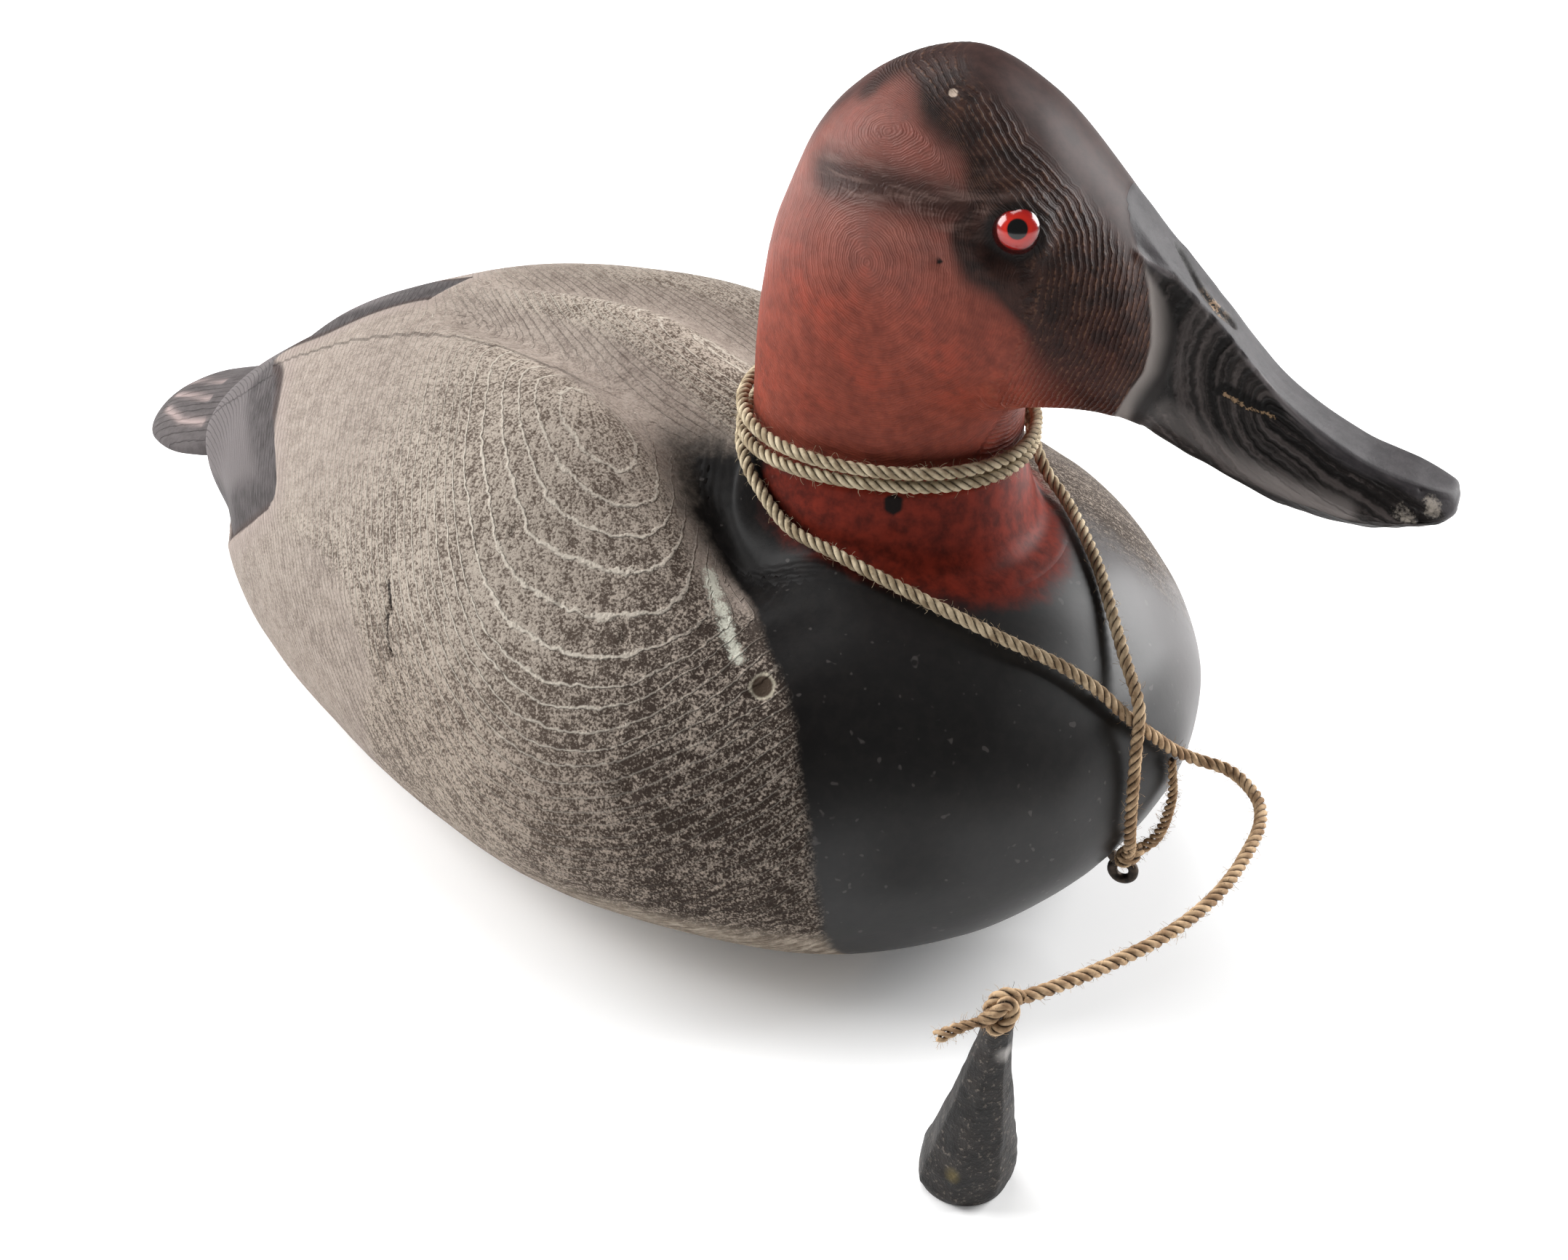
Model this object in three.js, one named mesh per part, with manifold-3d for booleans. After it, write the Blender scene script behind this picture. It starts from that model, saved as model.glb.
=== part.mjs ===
// Canvasback drake decoy with its anchor cord and weight.
// Millimetres. +X points to the bill, +Y to the duck's left, +Z up, and the flat bottom stands on z = 0.
import * as THREE from 'three';
import { mergeVertices } from 'three/addons/utils/BufferGeometryUtils.js';
import Module from 'manifold-3d';

const wasm = await Module();
wasm.setup();

const GAP = 0.3;
const TURN = 2 * Math.PI;

// Body outline: x, half width, top, bottom and the height of the widest line, from rump to breast.
const BODY_ROWS = [
  [-161, 0.3, 56, 52, 54],
  [-159, 19, 65, 41, 54],
  [-150, 31, 75, 32, 55],
  [-133, 40, 87, 19, 53],
  [-102, 61, 105, 5, 48],
  [-57, 79, 122, -3, 44],
  [-5, 94, 127, -4, 43],
  [40, 98, 113, -5, 42],
  [92, 84, 104, -4, 44],
  [124, 61, 92, 7, 47],
  [142, 39, 76, 23, 50],
  [150, 18, 64, 38, 52],
  [155, 0.3, 54, 52, 53],
];
const BODY_RINGS = 50;
const BODY_SIDES = 36;
const BACK_SQUARENESS = 2.15;
const BILGE_SQUARENESS = 2.4;

// Tail paddle: x, half width, middle height and thickness, from its root to its tip.
const TAIL_ROWS = [
  [-140, 27, 57, 15],
  [-164, 27, 50, 10],
  [-181, 22, 47, 8],
  [-192, 13, 44.5, 6.5],
  [-198.8, 0.3, 42, 3.5],
];
// Height of the tail's arch at its root; it flattens out toward the tip.
const TAIL_CROWN = 10;
const TAIL_SQUARENESS = 2.5;
const TAIL_RINGS = 14;
const TAIL_SIDES = 24;

// Head and bill in the neck's own frame: back point x and z, front point x and z, half width, taper to the back.
const HEAD_ROWS = [
  [-35.5, 118.8, 29, 118.8, 28, 0],
  [-35.5, 131, 29, 127, 27, 0],
  [-33.5, 153, 30, 133, 28.5, 0.02],
  [-28.5, 176, 34, 135.5, 30.5, 0.06],
  [-15, 201.5, 41, 136, 31.5, 0.1],
  [9.5, 213.5, 47, 135.5, 29.5, 0.12],
  [29, 206, 53, 134.5, 26.5, 0.14],
  [46.5, 189, 58, 132.5, 22, 0.16],
  [60, 173.5, 64, 129.5, 17, 0.2],
  [73.5, 159.5, 75, 124, 14, 0.28],
  [88, 144, 91, 117.5, 13, 0.3],
  [106, 132.5, 108, 115.5, 14.5, 0.2],
  [120, 127.5, 121, 117.5, 13.5, 0.1],
  [127.6, 125, 128.1, 119, 7, 0],
  [129.2, 123, 129.2, 120.5, 0.3, 0],
];
const HEAD_RINGS = 36;
const HEAD_SIDES = 24;
const HEAD_SQUARENESS = 2.2;
const HEAD_TURN = THREE.MathUtils.degToRad(18.5);

// Neck stub on the body, which the head stands on.
const NECK_X = 75;
const SEAT_Z = 118.5;
const NECK_CENTRE = -3.2;
const NECK_HALF_LENGTH = 32.3;
const NECK_HALF_WIDTH = 28;
const FLARE_FOOT_Z = 88;
const FLARE_REACH = 6;
const FLARE_SLOPE = 0.3;
const FLARE_STEPS = [0, 0.6, 1.3, 2.2, 3.4, 5, 7.5, 11, 16, 23];
const STUB_ROOT_Z = 50;
const STUB_SIDES = 28;

// Carving lines of the right side, as points on the surface; the left side mirrors them.
const VALLEY_LINE = [[-70, 4], [-50, 12], [-22, 17], [5, 20], [25, 23], [42, 29], [54, 37], [66, 47], [76, 57]];
const VALLEY_DEPTH = 6.5;
const FLANK_EDGE = [
  [-72, -9, 117],
  [-93, -13, 107],
  [-111, -16.5, 97],
  [-120, -22, 91],
  [-109, -33, 91],
  [-91, -50.5, 88],
  [-84, -57, 84],
  [-79, -62, 78],
  [-88, -62, 69],
  [-104, -58, 56],
  [-118, -50, 45],
  [-135, -36, 38],
  [-150, -20, 33],
];
const FLANK_STEP = 2.2;
// The step fades out below this height: the back runs on level with the flank.
const STEP_TOP = 103;
const STEP_FADE = 12;

const EYE_RADIUS = 5.6;
const EYE_PLACE = [29.5, 24.2, 184];
const EYE_SIDES = 16;

const RING_CENTRE = [147, -6, 21.7];
const RING_RADIUS = 2.7;
const WIRE_RADIUS = 1.25;
const SHANK_RADIUS = 1.3;
const SHANK_LENGTH = 14;
const SHANK_LEAN = THREE.MathUtils.degToRad(-38);
const RING_TURN = THREE.MathUtils.degToRad(12);

const CORD_WIDTH = 3;
const CORD_SIDES = 8;
const CORD_STEPS = 80;
const WRAP_START = 100;
const WRAP_END = 918;
const WRAP_POINTS = 56;
const WRAP_TOP_Z = 126;
const WRAP_PITCH = 3.4;
const WRAP_OUT = 2.7;
const PARTING_AT = 215;
const FRAYED_WIDTH = 2.4;

const EYE_KNOT = { place: [150.5, -10.9, 31.4], size: [3.2, 3.2, 3.2] };
const WEIGHT_KNOT = { place: [164.6, -98.3, 56.3], size: [4, 4, 3.6] };

const WEIGHT_PLACE = [157, -95.5];
const WEIGHT_TOP_SHIFT = [7.4, -2.2];
const WEIGHT_HEIGHT = 52;
const WEIGHT_SIDES = 20;
const WEIGHT_PROFILE = [[0, 10], [0.04, 11.1], [0.16, 10.8], [0.4, 8.4], [0.68, 5.7], [0.86, 4.2], [0.97, 3.6], [1, 2.6]];

const WOOD_GREY = new THREE.MeshStandardMaterial({ name: 'painted grey wood', color: 0x9a9084, roughness: 0.75 });
const WOOD_RED = new THREE.MeshStandardMaterial({ name: 'painted red wood', color: 0x6e2a20, roughness: 0.5 });
const GLASS = new THREE.MeshStandardMaterial({ name: 'glass', color: 0xc02018, roughness: 0.08 });
const IRON = new THREE.MeshStandardMaterial({ name: 'iron', color: 0x1c1a19, roughness: 0.6, metalness: 0.8 });
const TWINE = new THREE.MeshStandardMaterial({ name: 'twine', color: 0xa08a66, roughness: 0.9 });
const LEAD = new THREE.MeshStandardMaterial({ name: 'lead', color: 0x35322f, roughness: 0.6, metalness: 0.6 });

const signedPower = (value, power) => Math.sign(value) * Math.abs(value) ** power;

const smoothStep = (from, to, value) => THREE.MathUtils.smoothstep(value, from, to);

function rowAt(rows, place) {
  const last = rows.length - 1;
  const i = Math.min(Math.floor(place), last - 1);
  const f = place - i;
  return rows[i].map((value, k) => {
    const next = rows[i + 1][k];
    const before = i > 0 ? rows[i - 1][k] : 2 * value - next;
    const after = i < last - 1 ? rows[i + 2][k] : 2 * next - value;
    const slope = next - before;
    const bend = 2 * before - 5 * value + 4 * next - after;
    return 0.5 * (2 * value + slope * f + bend * f ** 2 + (3 * value - before - 3 * next + after) * f ** 3);
  });
}

// A closed geometry from equal rings of points, with a fan over the first ring and the last.
function loft(rings) {
  const sides = rings[0].length;
  const centre = (ring) => ring.reduce((sum, p) => sum.add(p), new THREE.Vector3()).divideScalar(sides);
  const points = [...rings.flat(), centre(rings[0]), centre(rings.at(-1))];
  const startCap = points.length - 2;
  const endCap = points.length - 1;
  const lastRing = (rings.length - 1) * sides;
  const index = [];
  for (let j = 0; j < sides; j += 1) {
    const next = (j + 1) % sides;
    index.push(startCap, next, j, endCap, lastRing + j, lastRing + next);
    for (let i = 0; i < rings.length - 1; i += 1) {
      const a = i * sides;
      const b = a + sides;
      index.push(a + j, a + next, b + next, a + j, b + next, b + j);
    }
  }
  const geometry = new THREE.BufferGeometry().setFromPoints(points);
  geometry.setIndex(index);
  return signedVolume(points, index) < 0 ? flipped(geometry) : geometry;
}

function signedVolume(points, index) {
  let volume = 0;
  for (let i = 0; i < index.length; i += 3) {
    const [a, b, c] = [points[index[i]], points[index[i + 1]], points[index[i + 2]]];
    volume += a.dot(b.clone().cross(c)) / 6;
  }
  return volume;
}

function flipped(geometry) {
  geometry.setIndex([...geometry.index.array].reverse());
  return geometry;
}

function solid(geometry) {
  const bare = geometry.clone();
  bare.deleteAttribute('normal');
  bare.deleteAttribute('uv');
  const merged = mergeVertices(bare, 1e-4);
  return new wasm.Manifold(new wasm.Mesh({
    numProp: 3,
    vertProperties: new Float32Array(merged.attributes.position.array),
    triVerts: new Uint32Array(merged.index.array),
  }));
}

function toGeometry(manifold) {
  const mesh = manifold.getMesh();
  const geometry = new THREE.BufferGeometry();
  geometry.setAttribute('position', new THREE.BufferAttribute(mesh.vertProperties, 3));
  geometry.setIndex([...mesh.triVerts]);
  return geometry;
}

function named(name, geometry, material) {
  geometry.computeVertexNormals();
  const mesh = new THREE.Mesh(geometry, material);
  mesh.name = name;
  return mesh;
}

const valleyPoints = new THREE.SplineCurve(VALLEY_LINE.map(([x, y]) => new THREE.Vector2(x, y))).getPoints(60);

// The groove between the back and each flank: it deepens toward the neck and runs out over the shoulder.
function valleyDepth(x, y) {
  const here = new THREE.Vector2(x, Math.abs(y));
  const nearest = valleyPoints.reduce((a, b) => (b.distanceTo(here) < a.distanceTo(here) ? b : a));
  const growth = smoothStep(-72, -45, nearest.x) * (1 + 0.5 * smoothStep(20, 52, nearest.x));
  const fade = 1 - 0.75 * smoothStep(58, 76, nearest.x);
  const width = 9 + 3 * smoothStep(-60, 40, nearest.x);
  return VALLEY_DEPTH * growth * fade * Math.exp(-((nearest.distanceTo(here) / width) ** 2));
}

function bodyPoint([x, half, top, bottom, wide], angle) {
  const rise = Math.sin(angle);
  const squareness = rise > 0 ? BACK_SQUARENESS : BILGE_SQUARENESS;
  const y = half * signedPower(Math.cos(angle), 2 / squareness);
  const height = Math.abs(rise) ** (2 / squareness);
  const upper = wide + (top - wide) * height - valleyDepth(x, y) * smoothStep(0.1, 0.5, height);
  const lower = wide - (wide - bottom) * height;
  return new THREE.Vector3(x, y, Math.max(rise > 0 ? upper : lower, 0));
}

const flankEdge = new THREE.CatmullRomCurve3(FLANK_EDGE.map((p) => new THREE.Vector3(...p))).getPoints(90);

// Distance past the flank's carved edge, toward the rump: positive behind it.
function pastFlankEdge(point, normal) {
  const right = new THREE.Vector3(point.x, -Math.abs(point.y), point.z);
  const out = new THREE.Vector3(normal.x, point.y > 0 ? -normal.y : normal.y, normal.z);
  let nearest = { distance: Infinity };
  for (let i = 1; i < flankEdge.length; i += 1) {
    const distance = flankEdge[i].distanceTo(right);
    if (distance < nearest.distance) nearest = { distance, i };
  }
  const along = flankEdge[nearest.i].clone().sub(flankEdge[nearest.i - 1]);
  const side = along.cross(right.sub(flankEdge[nearest.i])).dot(out);
  return Math.sign(side) * nearest.distance;
}

function withRumpStep(rings) {
  const sides = rings[0].length;
  return rings.map((ring, i) => ring.map((point, j) => {
    const forward = rings[Math.min(i + 1, rings.length - 1)][j].clone().sub(rings[Math.max(i - 1, 0)][j]);
    const round = ring[(j + 1) % sides].clone().sub(ring[(j + sides - 1) % sides]);
    const normal = round.cross(forward).normalize();
    if (point.z <= 0 || normal.lengthSq() === 0) return point;
    const past = smoothStep(-1.5, 1.5, pastFlankEdge(point, normal)) * smoothStep(72, 80, -point.x);
    const onBack = smoothStep(STEP_TOP - STEP_FADE, STEP_TOP, point.z);
    return point.clone().addScaledVector(normal, -FLANK_STEP * past * (1 - onBack));
  }));
}

function bodyRings() {
  const rings = [];
  for (let i = 0; i <= BODY_RINGS; i += 1) {
    const row = rowAt(BODY_ROWS, (i / BODY_RINGS) * (BODY_ROWS.length - 1));
    const angles = Array.from({ length: BODY_SIDES }, (_, j) => ((j + 0.5) / BODY_SIDES) * TURN);
    rings.push(angles.map((angle) => bodyPoint(row, angle)));
  }
  return withRumpStep(rings);
}

function tailPaddle() {
  const rings = [];
  for (let i = 0; i <= TAIL_RINGS; i += 1) {
    const [x, half, middle, thick] = rowAt(TAIL_ROWS, (i / TAIL_RINGS) * (TAIL_ROWS.length - 1));
    rings.push(Array.from({ length: TAIL_SIDES }, (_, j) => {
      const angle = (j / TAIL_SIDES) * TURN;
      const y = half * signedPower(Math.cos(angle), 2 / TAIL_SQUARENESS);
      const crown = TAIL_CROWN * (half / TAIL_ROWS[0][1]) ** 1.5 * (1 - (y / half) ** 2);
      const rise = (thick / 2) * signedPower(Math.sin(angle), 2 / TAIL_SQUARENESS);
      return new THREE.Vector3(x, y, middle + crown + rise);
    }));
  }
  return loft(rings);
}

// A point round the neck at an angle from the bill's direction, a distance out from the neck's own outline.
function roundNeck(angle, out, z) {
  const x = NECK_CENTRE + (NECK_HALF_LENGTH + out) * signedPower(Math.cos(angle), 2 / HEAD_SQUARENESS);
  const y = (NECK_HALF_WIDTH + out) * signedPower(Math.sin(angle), 2 / HEAD_SQUARENESS);
  return new THREE.Vector3(
    NECK_X + x * Math.cos(HEAD_TURN) - y * Math.sin(HEAD_TURN),
    x * Math.sin(HEAD_TURN) + y * Math.cos(HEAD_TURN),
    z,
  );
}

function neckStub() {
  const rings = [];
  for (const out of FLARE_STEPS) {
    const z = FLARE_FOOT_Z + (SEAT_Z - FLARE_FOOT_Z) * Math.exp(-out / FLARE_REACH) - FLARE_SLOPE * out;
    rings.push(Array.from({ length: STUB_SIDES }, (_, j) => roundNeck((j / STUB_SIDES) * TURN, out, z)));
  }
  rings.push(Array.from({ length: STUB_SIDES }, (_, j) => roundNeck((j / STUB_SIDES) * TURN, 0, STUB_ROOT_Z)));
  return loft(rings);
}

function shank(radius, length) {
  const geometry = new THREE.CylinderGeometry(radius, radius, length, 10);
  geometry.translate(0, RING_RADIUS + WIRE_RADIUS * 0.4 + length / 2, 0);
  return geometry;
}

// Stands the ring upright with its shank leaning back into the breast.
function placeScrewEye(geometry) {
  geometry.rotateX(Math.PI / 2);
  geometry.rotateY(SHANK_LEAN);
  geometry.rotateZ(RING_TURN);
  geometry.translate(...RING_CENTRE);
  return geometry;
}

function body() {
  const hole = solid(placeScrewEye(shank(SHANK_RADIUS + GAP, SHANK_LENGTH + GAP)));
  const carved = solid(loft(bodyRings())).add(solid(tailPaddle())).add(solid(neckStub()));
  return named('body', toGeometry(carved.subtract(hole)), WOOD_GREY);
}

function headGeometry() {
  const rings = [];
  for (let i = 0; i <= HEAD_RINGS; i += 1) {
    const row = rowAt(HEAD_ROWS, (i / HEAD_RINGS) * (HEAD_ROWS.length - 1));
    const [backX, backZ, frontX, frontZ, half, taper] = row;
    rings.push(Array.from({ length: HEAD_SIDES }, (_, j) => {
      const angle = (j / HEAD_SIDES) * TURN;
      const along = signedPower(Math.cos(angle), 2 / HEAD_SQUARENESS);
      const across = signedPower(Math.sin(angle), 2 / HEAD_SQUARENESS) * (1 - taper * along);
      const x = THREE.MathUtils.lerp(frontX, backX, (1 + along) / 2);
      const z = THREE.MathUtils.lerp(frontZ, backZ, (1 + along) / 2);
      return new THREE.Vector3(x, half * across, z);
    }));
  }
  return loft(rings);
}

function onNeck(object) {
  object.rotation.z = HEAD_TURN;
  object.position.x = NECK_X;
  return object;
}

const eyeCentre = (side) => [EYE_PLACE[0], side * EYE_PLACE[1], EYE_PLACE[2]];

function head() {
  let carved = solid(headGeometry());
  for (const side of [-1, 1]) {
    const socket = new THREE.SphereGeometry(EYE_RADIUS + GAP, EYE_SIDES, EYE_SIDES / 2).translate(...eyeCentre(side));
    carved = carved.subtract(solid(socket));
  }
  return onNeck(named('head', toGeometry(carved), WOOD_RED));
}

function eye(name, side) {
  const ball = new THREE.SphereGeometry(EYE_RADIUS, EYE_SIDES, EYE_SIDES / 2).translate(...eyeCentre(side));
  return onNeck(named(name, toGeometry(solid(ball)), GLASS));
}

function screwEye() {
  const ring = placeScrewEye(new THREE.TorusGeometry(RING_RADIUS, WIRE_RADIUS, 8, 18));
  const joined = solid(ring).add(solid(placeScrewEye(shank(SHANK_RADIUS, SHANK_LENGTH))));
  return named('screw_eye', toGeometry(joined), IRON);
}

// Rather more than two turns of cord down the neck, which part at its back on the right side.
function neckWraps() {
  const points = [];
  for (let i = 0; i <= WRAP_POINTS; i += 1) {
    const degrees = THREE.MathUtils.lerp(WRAP_START, WRAP_END, i / WRAP_POINTS);
    const turns = (degrees - WRAP_START) / 360;
    const parting = Math.max(0, Math.cos(THREE.MathUtils.degToRad(degrees - PARTING_AT))) ** 2;
    const spread = THREE.MathUtils.clamp(2.8 - 3.5 * turns, -1, 3) * parting;
    const angle = THREE.MathUtils.degToRad(degrees) - HEAD_TURN;
    points.push(roundNeck(angle, WRAP_OUT, WRAP_TOP_Z - WRAP_PITCH * turns + spread));
  }
  return points;
}

// The cord's route before and after the neck, as it lies over the breast and hangs out to the weight.
const CORD_FROM_EYE = [
  [151.8, -14, 36],
  [152.6, -16.8, 44],
  [152.6, -17.6, 54],
  [151.3, -15.4, 65.7],
  [149.4, -12, 74.6],
  [141, -4.7, 81.8],
  [133.7, 1.8, 87.8],
  [125.4, 9.7, 93.2],
  [115.6, 18, 97.2],
  [107, 24.5, 100],
  [101.4, 26.2, 103.5],
  [97.4, 27, 109],
  [93, 29.4, 115.5],
  [86.6, 32.4, 121.5],
  [77.9, 32.5, 125.5],
];
const CORD_TO_WEIGHT = [
  [43, -21.4, 117],
  [50, -28.6, 114.4],
  [57.5, -32.2, 110.2],
  [67, -35.3, 106.1],
  [80, -36, 104.2],
  [94.5, -35.4, 101.4],
  [109, -32.7, 97.2],
  [122.5, -28, 91.8],
  [133.3, -21.8, 85.8],
  [141, -16.9, 79.2],
  [146.8, -13.1, 72.2],
  [151.3, -7.8, 65.6],
  [155, -2.9, 60],
  [158.5, 1.5, 56.2],
  [166.6, 4.8, 54],
  [176, -0.8, 54],
  [181, -9, 54.3],
  [184, -24, 54.8],
  [184.8, -36.7, 55],
  [183.7, -48.8, 55],
  [181, -61, 55.2],
  [177.6, -71, 55.5],
  [174.2, -80, 56],
  [170.1, -89, 56.5],
  [167.2, -94, 56.5],
];
const EYE_TAIL = [
  [151.2, -5.6, 30.2],
  [153, -3.6, 32],
  [154.6, -3, 36],
  [155.8, -2.8, 42],
  [156.2, -2.8, 47.4],
  [156.2, -4, 53],
];
const WEIGHT_TAIL = [[162.6, -102.8, 54.2], [159.6, -105.2, 52.8], [156.2, -109, 51]];

function tube(name, points, width, steps) {
  const section = new THREE.Shape();
  for (let i = 0; i < CORD_SIDES; i += 1) {
    const angle = (i / CORD_SIDES) * TURN;
    const [x, y] = [(width / 2) * Math.cos(angle), (width / 2) * Math.sin(angle)];
    if (i === 0) section.moveTo(x, y);
    else section.lineTo(x, y);
  }
  section.closePath();
  const path = new THREE.CatmullRomCurve3(points, false, 'centripetal');
  const geometry = new THREE.ExtrudeGeometry(section, { extrudePath: path, steps });
  return named(name, toGeometry(solid(geometry)), TWINE);
}

const vectors = (list) => list.map((p) => new THREE.Vector3(...p));

function cord() {
  const route = [...vectors(CORD_FROM_EYE), ...neckWraps(), ...vectors(CORD_TO_WEIGHT)];
  return tube('cord', route, CORD_WIDTH, CORD_STEPS);
}

function knot(name, { place, size }) {
  const lump = new THREE.SphereGeometry(1, 12, 8).scale(...size).translate(...place);
  return named(name, toGeometry(solid(lump)), TWINE);
}

function anchorWeight() {
  const rings = WEIGHT_PROFILE.map(([height, radius]) => Array.from({ length: WEIGHT_SIDES }, (_, j) => {
    const angle = (j / WEIGHT_SIDES) * TURN;
    return new THREE.Vector3(
      WEIGHT_PLACE[0] + WEIGHT_TOP_SHIFT[0] * height + radius * Math.cos(angle),
      WEIGHT_PLACE[1] + WEIGHT_TOP_SHIFT[1] * height + radius * Math.sin(angle),
      WEIGHT_HEIGHT * height,
    );
  }));
  return named('anchor_weight', toGeometry(solid(loft(rings))), LEAD);
}

const decoy = new THREE.Group();
decoy.add(
  body(),
  head(),
  eye('eye_right', -1),
  eye('eye_left', 1),
  screwEye(),
  cord(),
  knot('knot_at_eye', EYE_KNOT),
  tube('cord_tail_at_eye', vectors(EYE_TAIL), FRAYED_WIDTH, 6),
  anchorWeight(),
  knot('knot_at_weight', WEIGHT_KNOT),
  tube('cord_tail_at_weight', vectors(WEIGHT_TAIL), FRAYED_WIDTH, 3),
);

export default decoy;
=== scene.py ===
"""Canvasback drake decoy: carved, sand-worn and painted wood, with its twine and its lead anchor weight."""
import itertools
import math

import bpy
import numpy as np
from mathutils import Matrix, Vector
from mathutils.kdtree import KDTree


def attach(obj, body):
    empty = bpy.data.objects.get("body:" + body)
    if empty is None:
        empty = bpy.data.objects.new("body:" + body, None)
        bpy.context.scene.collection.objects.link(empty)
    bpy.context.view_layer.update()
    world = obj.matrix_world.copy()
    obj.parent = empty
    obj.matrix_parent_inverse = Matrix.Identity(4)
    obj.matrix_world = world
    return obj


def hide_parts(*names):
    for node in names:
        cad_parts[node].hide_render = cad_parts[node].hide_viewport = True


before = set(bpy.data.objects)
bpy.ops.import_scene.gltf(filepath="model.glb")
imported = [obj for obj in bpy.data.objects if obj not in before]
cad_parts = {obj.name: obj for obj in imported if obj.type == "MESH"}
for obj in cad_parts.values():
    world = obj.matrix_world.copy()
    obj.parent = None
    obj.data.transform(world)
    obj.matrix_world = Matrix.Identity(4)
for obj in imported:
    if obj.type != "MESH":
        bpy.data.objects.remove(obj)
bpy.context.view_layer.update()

MM = 0.001
TURN = 2 * math.pi

# Body outline: x, half width, top, bottom and the height of the widest line, from rump to breast (mm).
BODY_ROWS = np.array([
    (-161, 0.3, 56, 52, 54), (-159, 19, 65, 41, 54), (-150, 31, 75, 32, 55), (-133, 40, 87, 19, 53),
    (-102, 61, 105, 5, 48), (-57, 79, 122, -3, 44), (-5, 94, 127, -4, 43), (40, 98, 113, -5, 42),
    (92, 84, 104, -4, 44), (124, 61, 92, 7, 47), (142, 39, 76, 23, 50), (150, 18, 64, 38, 52),
    (155, 0.3, 54, 52, 53),
])
BACK_SQUARENESS = 2.15
BILGE_SQUARENESS = 2.4

# Tail paddle: x, half width, middle height and thickness, from its root to its tip.
TAIL_ROWS = np.array([
    (-140, 27, 57, 15), (-164, 27, 50, 10), (-181, 22, 47, 8), (-192, 13, 44.5, 6.5), (-198.8, 0.3, 42, 3.5),
])
TAIL_CROWN = 10
TAIL_SQUARENESS = 2.5

# Head and bill in the neck's own frame: back point and front point (x, z), half width, taper to the back.
HEAD_ROWS = np.array([
    (-35.5, 118.8, 29, 118.8, 28, 0), (-35.5, 131, 29, 127, 27, 0), (-33.5, 153, 30, 133, 28.5, 0.02),
    (-28.5, 176, 34, 135.5, 30.5, 0.06), (-15, 201.5, 41, 136, 31.5, 0.1),
    (9.5, 213.5, 47, 135.5, 29.5, 0.12), (29, 206, 53, 134.5, 26.5, 0.14),
    (46.5, 189, 58, 132.5, 22, 0.16), (60, 173.5, 64, 129.5, 17, 0.2), (73.5, 159.5, 75, 124, 14, 0.28),
    (88, 144, 91, 117.5, 13, 0.3), (106, 132.5, 108, 115.5, 14.5, 0.2),
    (120, 127.5, 121, 117.5, 13.5, 0.1), (127.6, 125, 128.1, 119, 7, 0),
    (129.2, 123, 129.2, 120.5, 0.3, 0),
])
HEAD_SQUARENESS = 2.2
HEAD_TURN = math.radians(18.5)

# Neck stub under the head: its place, its seat's height, its outline and the flare at its foot.
NECK_X = 75
SEAT_Z = 118.5
NECK_CENTRE = -3.2
NECK_HALF_LENGTH = 32.3
NECK_HALF_WIDTH = 28
FLARE_FOOT_Z = 88
FLARE_REACH = 6
FLARE_SLOPE = 0.3
FLARE_RUN = 12
FLARE_END = 60
FLARE_BLEND = 5

# The valley between flank and back as seen from above, and the flank's carved edge beside the rump.
VALLEY_LINE = [(-70, 4), (-50, 12), (-22, 17), (5, 20), (25, 23), (42, 29), (54, 37), (66, 47), (76, 57)]
VALLEY_DEPTH = 6.5
FLANK_EDGE = [
    (-72, -9, 117), (-93, -13, 107), (-111, -16.5, 97), (-120, -22, 91), (-109, -33, 91), (-91, -50.5, 88),
    (-84, -57, 84), (-79, -62, 78), (-88, -62, 69), (-104, -58, 56), (-118, -50, 45), (-135, -36, 38),
    (-150, -20, 33),
]
FLANK_STEP = 2.2
STEP_TOP = 103
STEP_FADE = 12
RUMP_FRONT = -70

# Glass eyes, in the neck's own frame: size and place, how far they stand out, and where the pupil faces.
EYE_RADIUS = 5.6
EYE_PLACE = (29.5, 24.2, 184)
EYE_SHOWS = 2.5
EYE_CLEARANCE = 0.02
EYE_AXIS = np.array((0.16, 0.92, 0.36))

# Screw eye: its ring, its shank, how far it leans and turns in the breast, and how finely it is made.
RING_CENTRE = (147, -6, 21.7)
RING_RADIUS = 2.7
WIRE_RADIUS = 1.25
SHANK_RADIUS = 1.3
SHANK_LENGTH = 14
SHANK_LEAN = math.radians(-38)
RING_SIDES = 72
WIRE_SIDES = 20
SHANK_STATIONS = 40
RING_TURN = math.radians(12)

# The cord's turns down the neck, in degrees round it, and how far they lie apart and out from it.
WRAP_START = 100
WRAP_END = 918
WRAP_POINTS = 56
WRAP_TOP_Z = 126
WRAP_PITCH = 3.4
WRAP_OUT = 2.7
PARTING_AT = 215

# Anchor weight: its place on the ground, the shift of its top, its height and its radius at shares of that.
WEIGHT_PLACE = (157, -95.5)
WEIGHT_TOP_SHIFT = (7.4, -2.2)
WEIGHT_HEIGHT = 52
WEIGHT_PROFILE = np.array([
    (0, 10), (0.04, 11.1), (0.16, 10.8), (0.4, 8.4), (0.68, 5.7), (0.86, 4.2), (0.97, 3.6), (1, 2.6),
])

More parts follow.
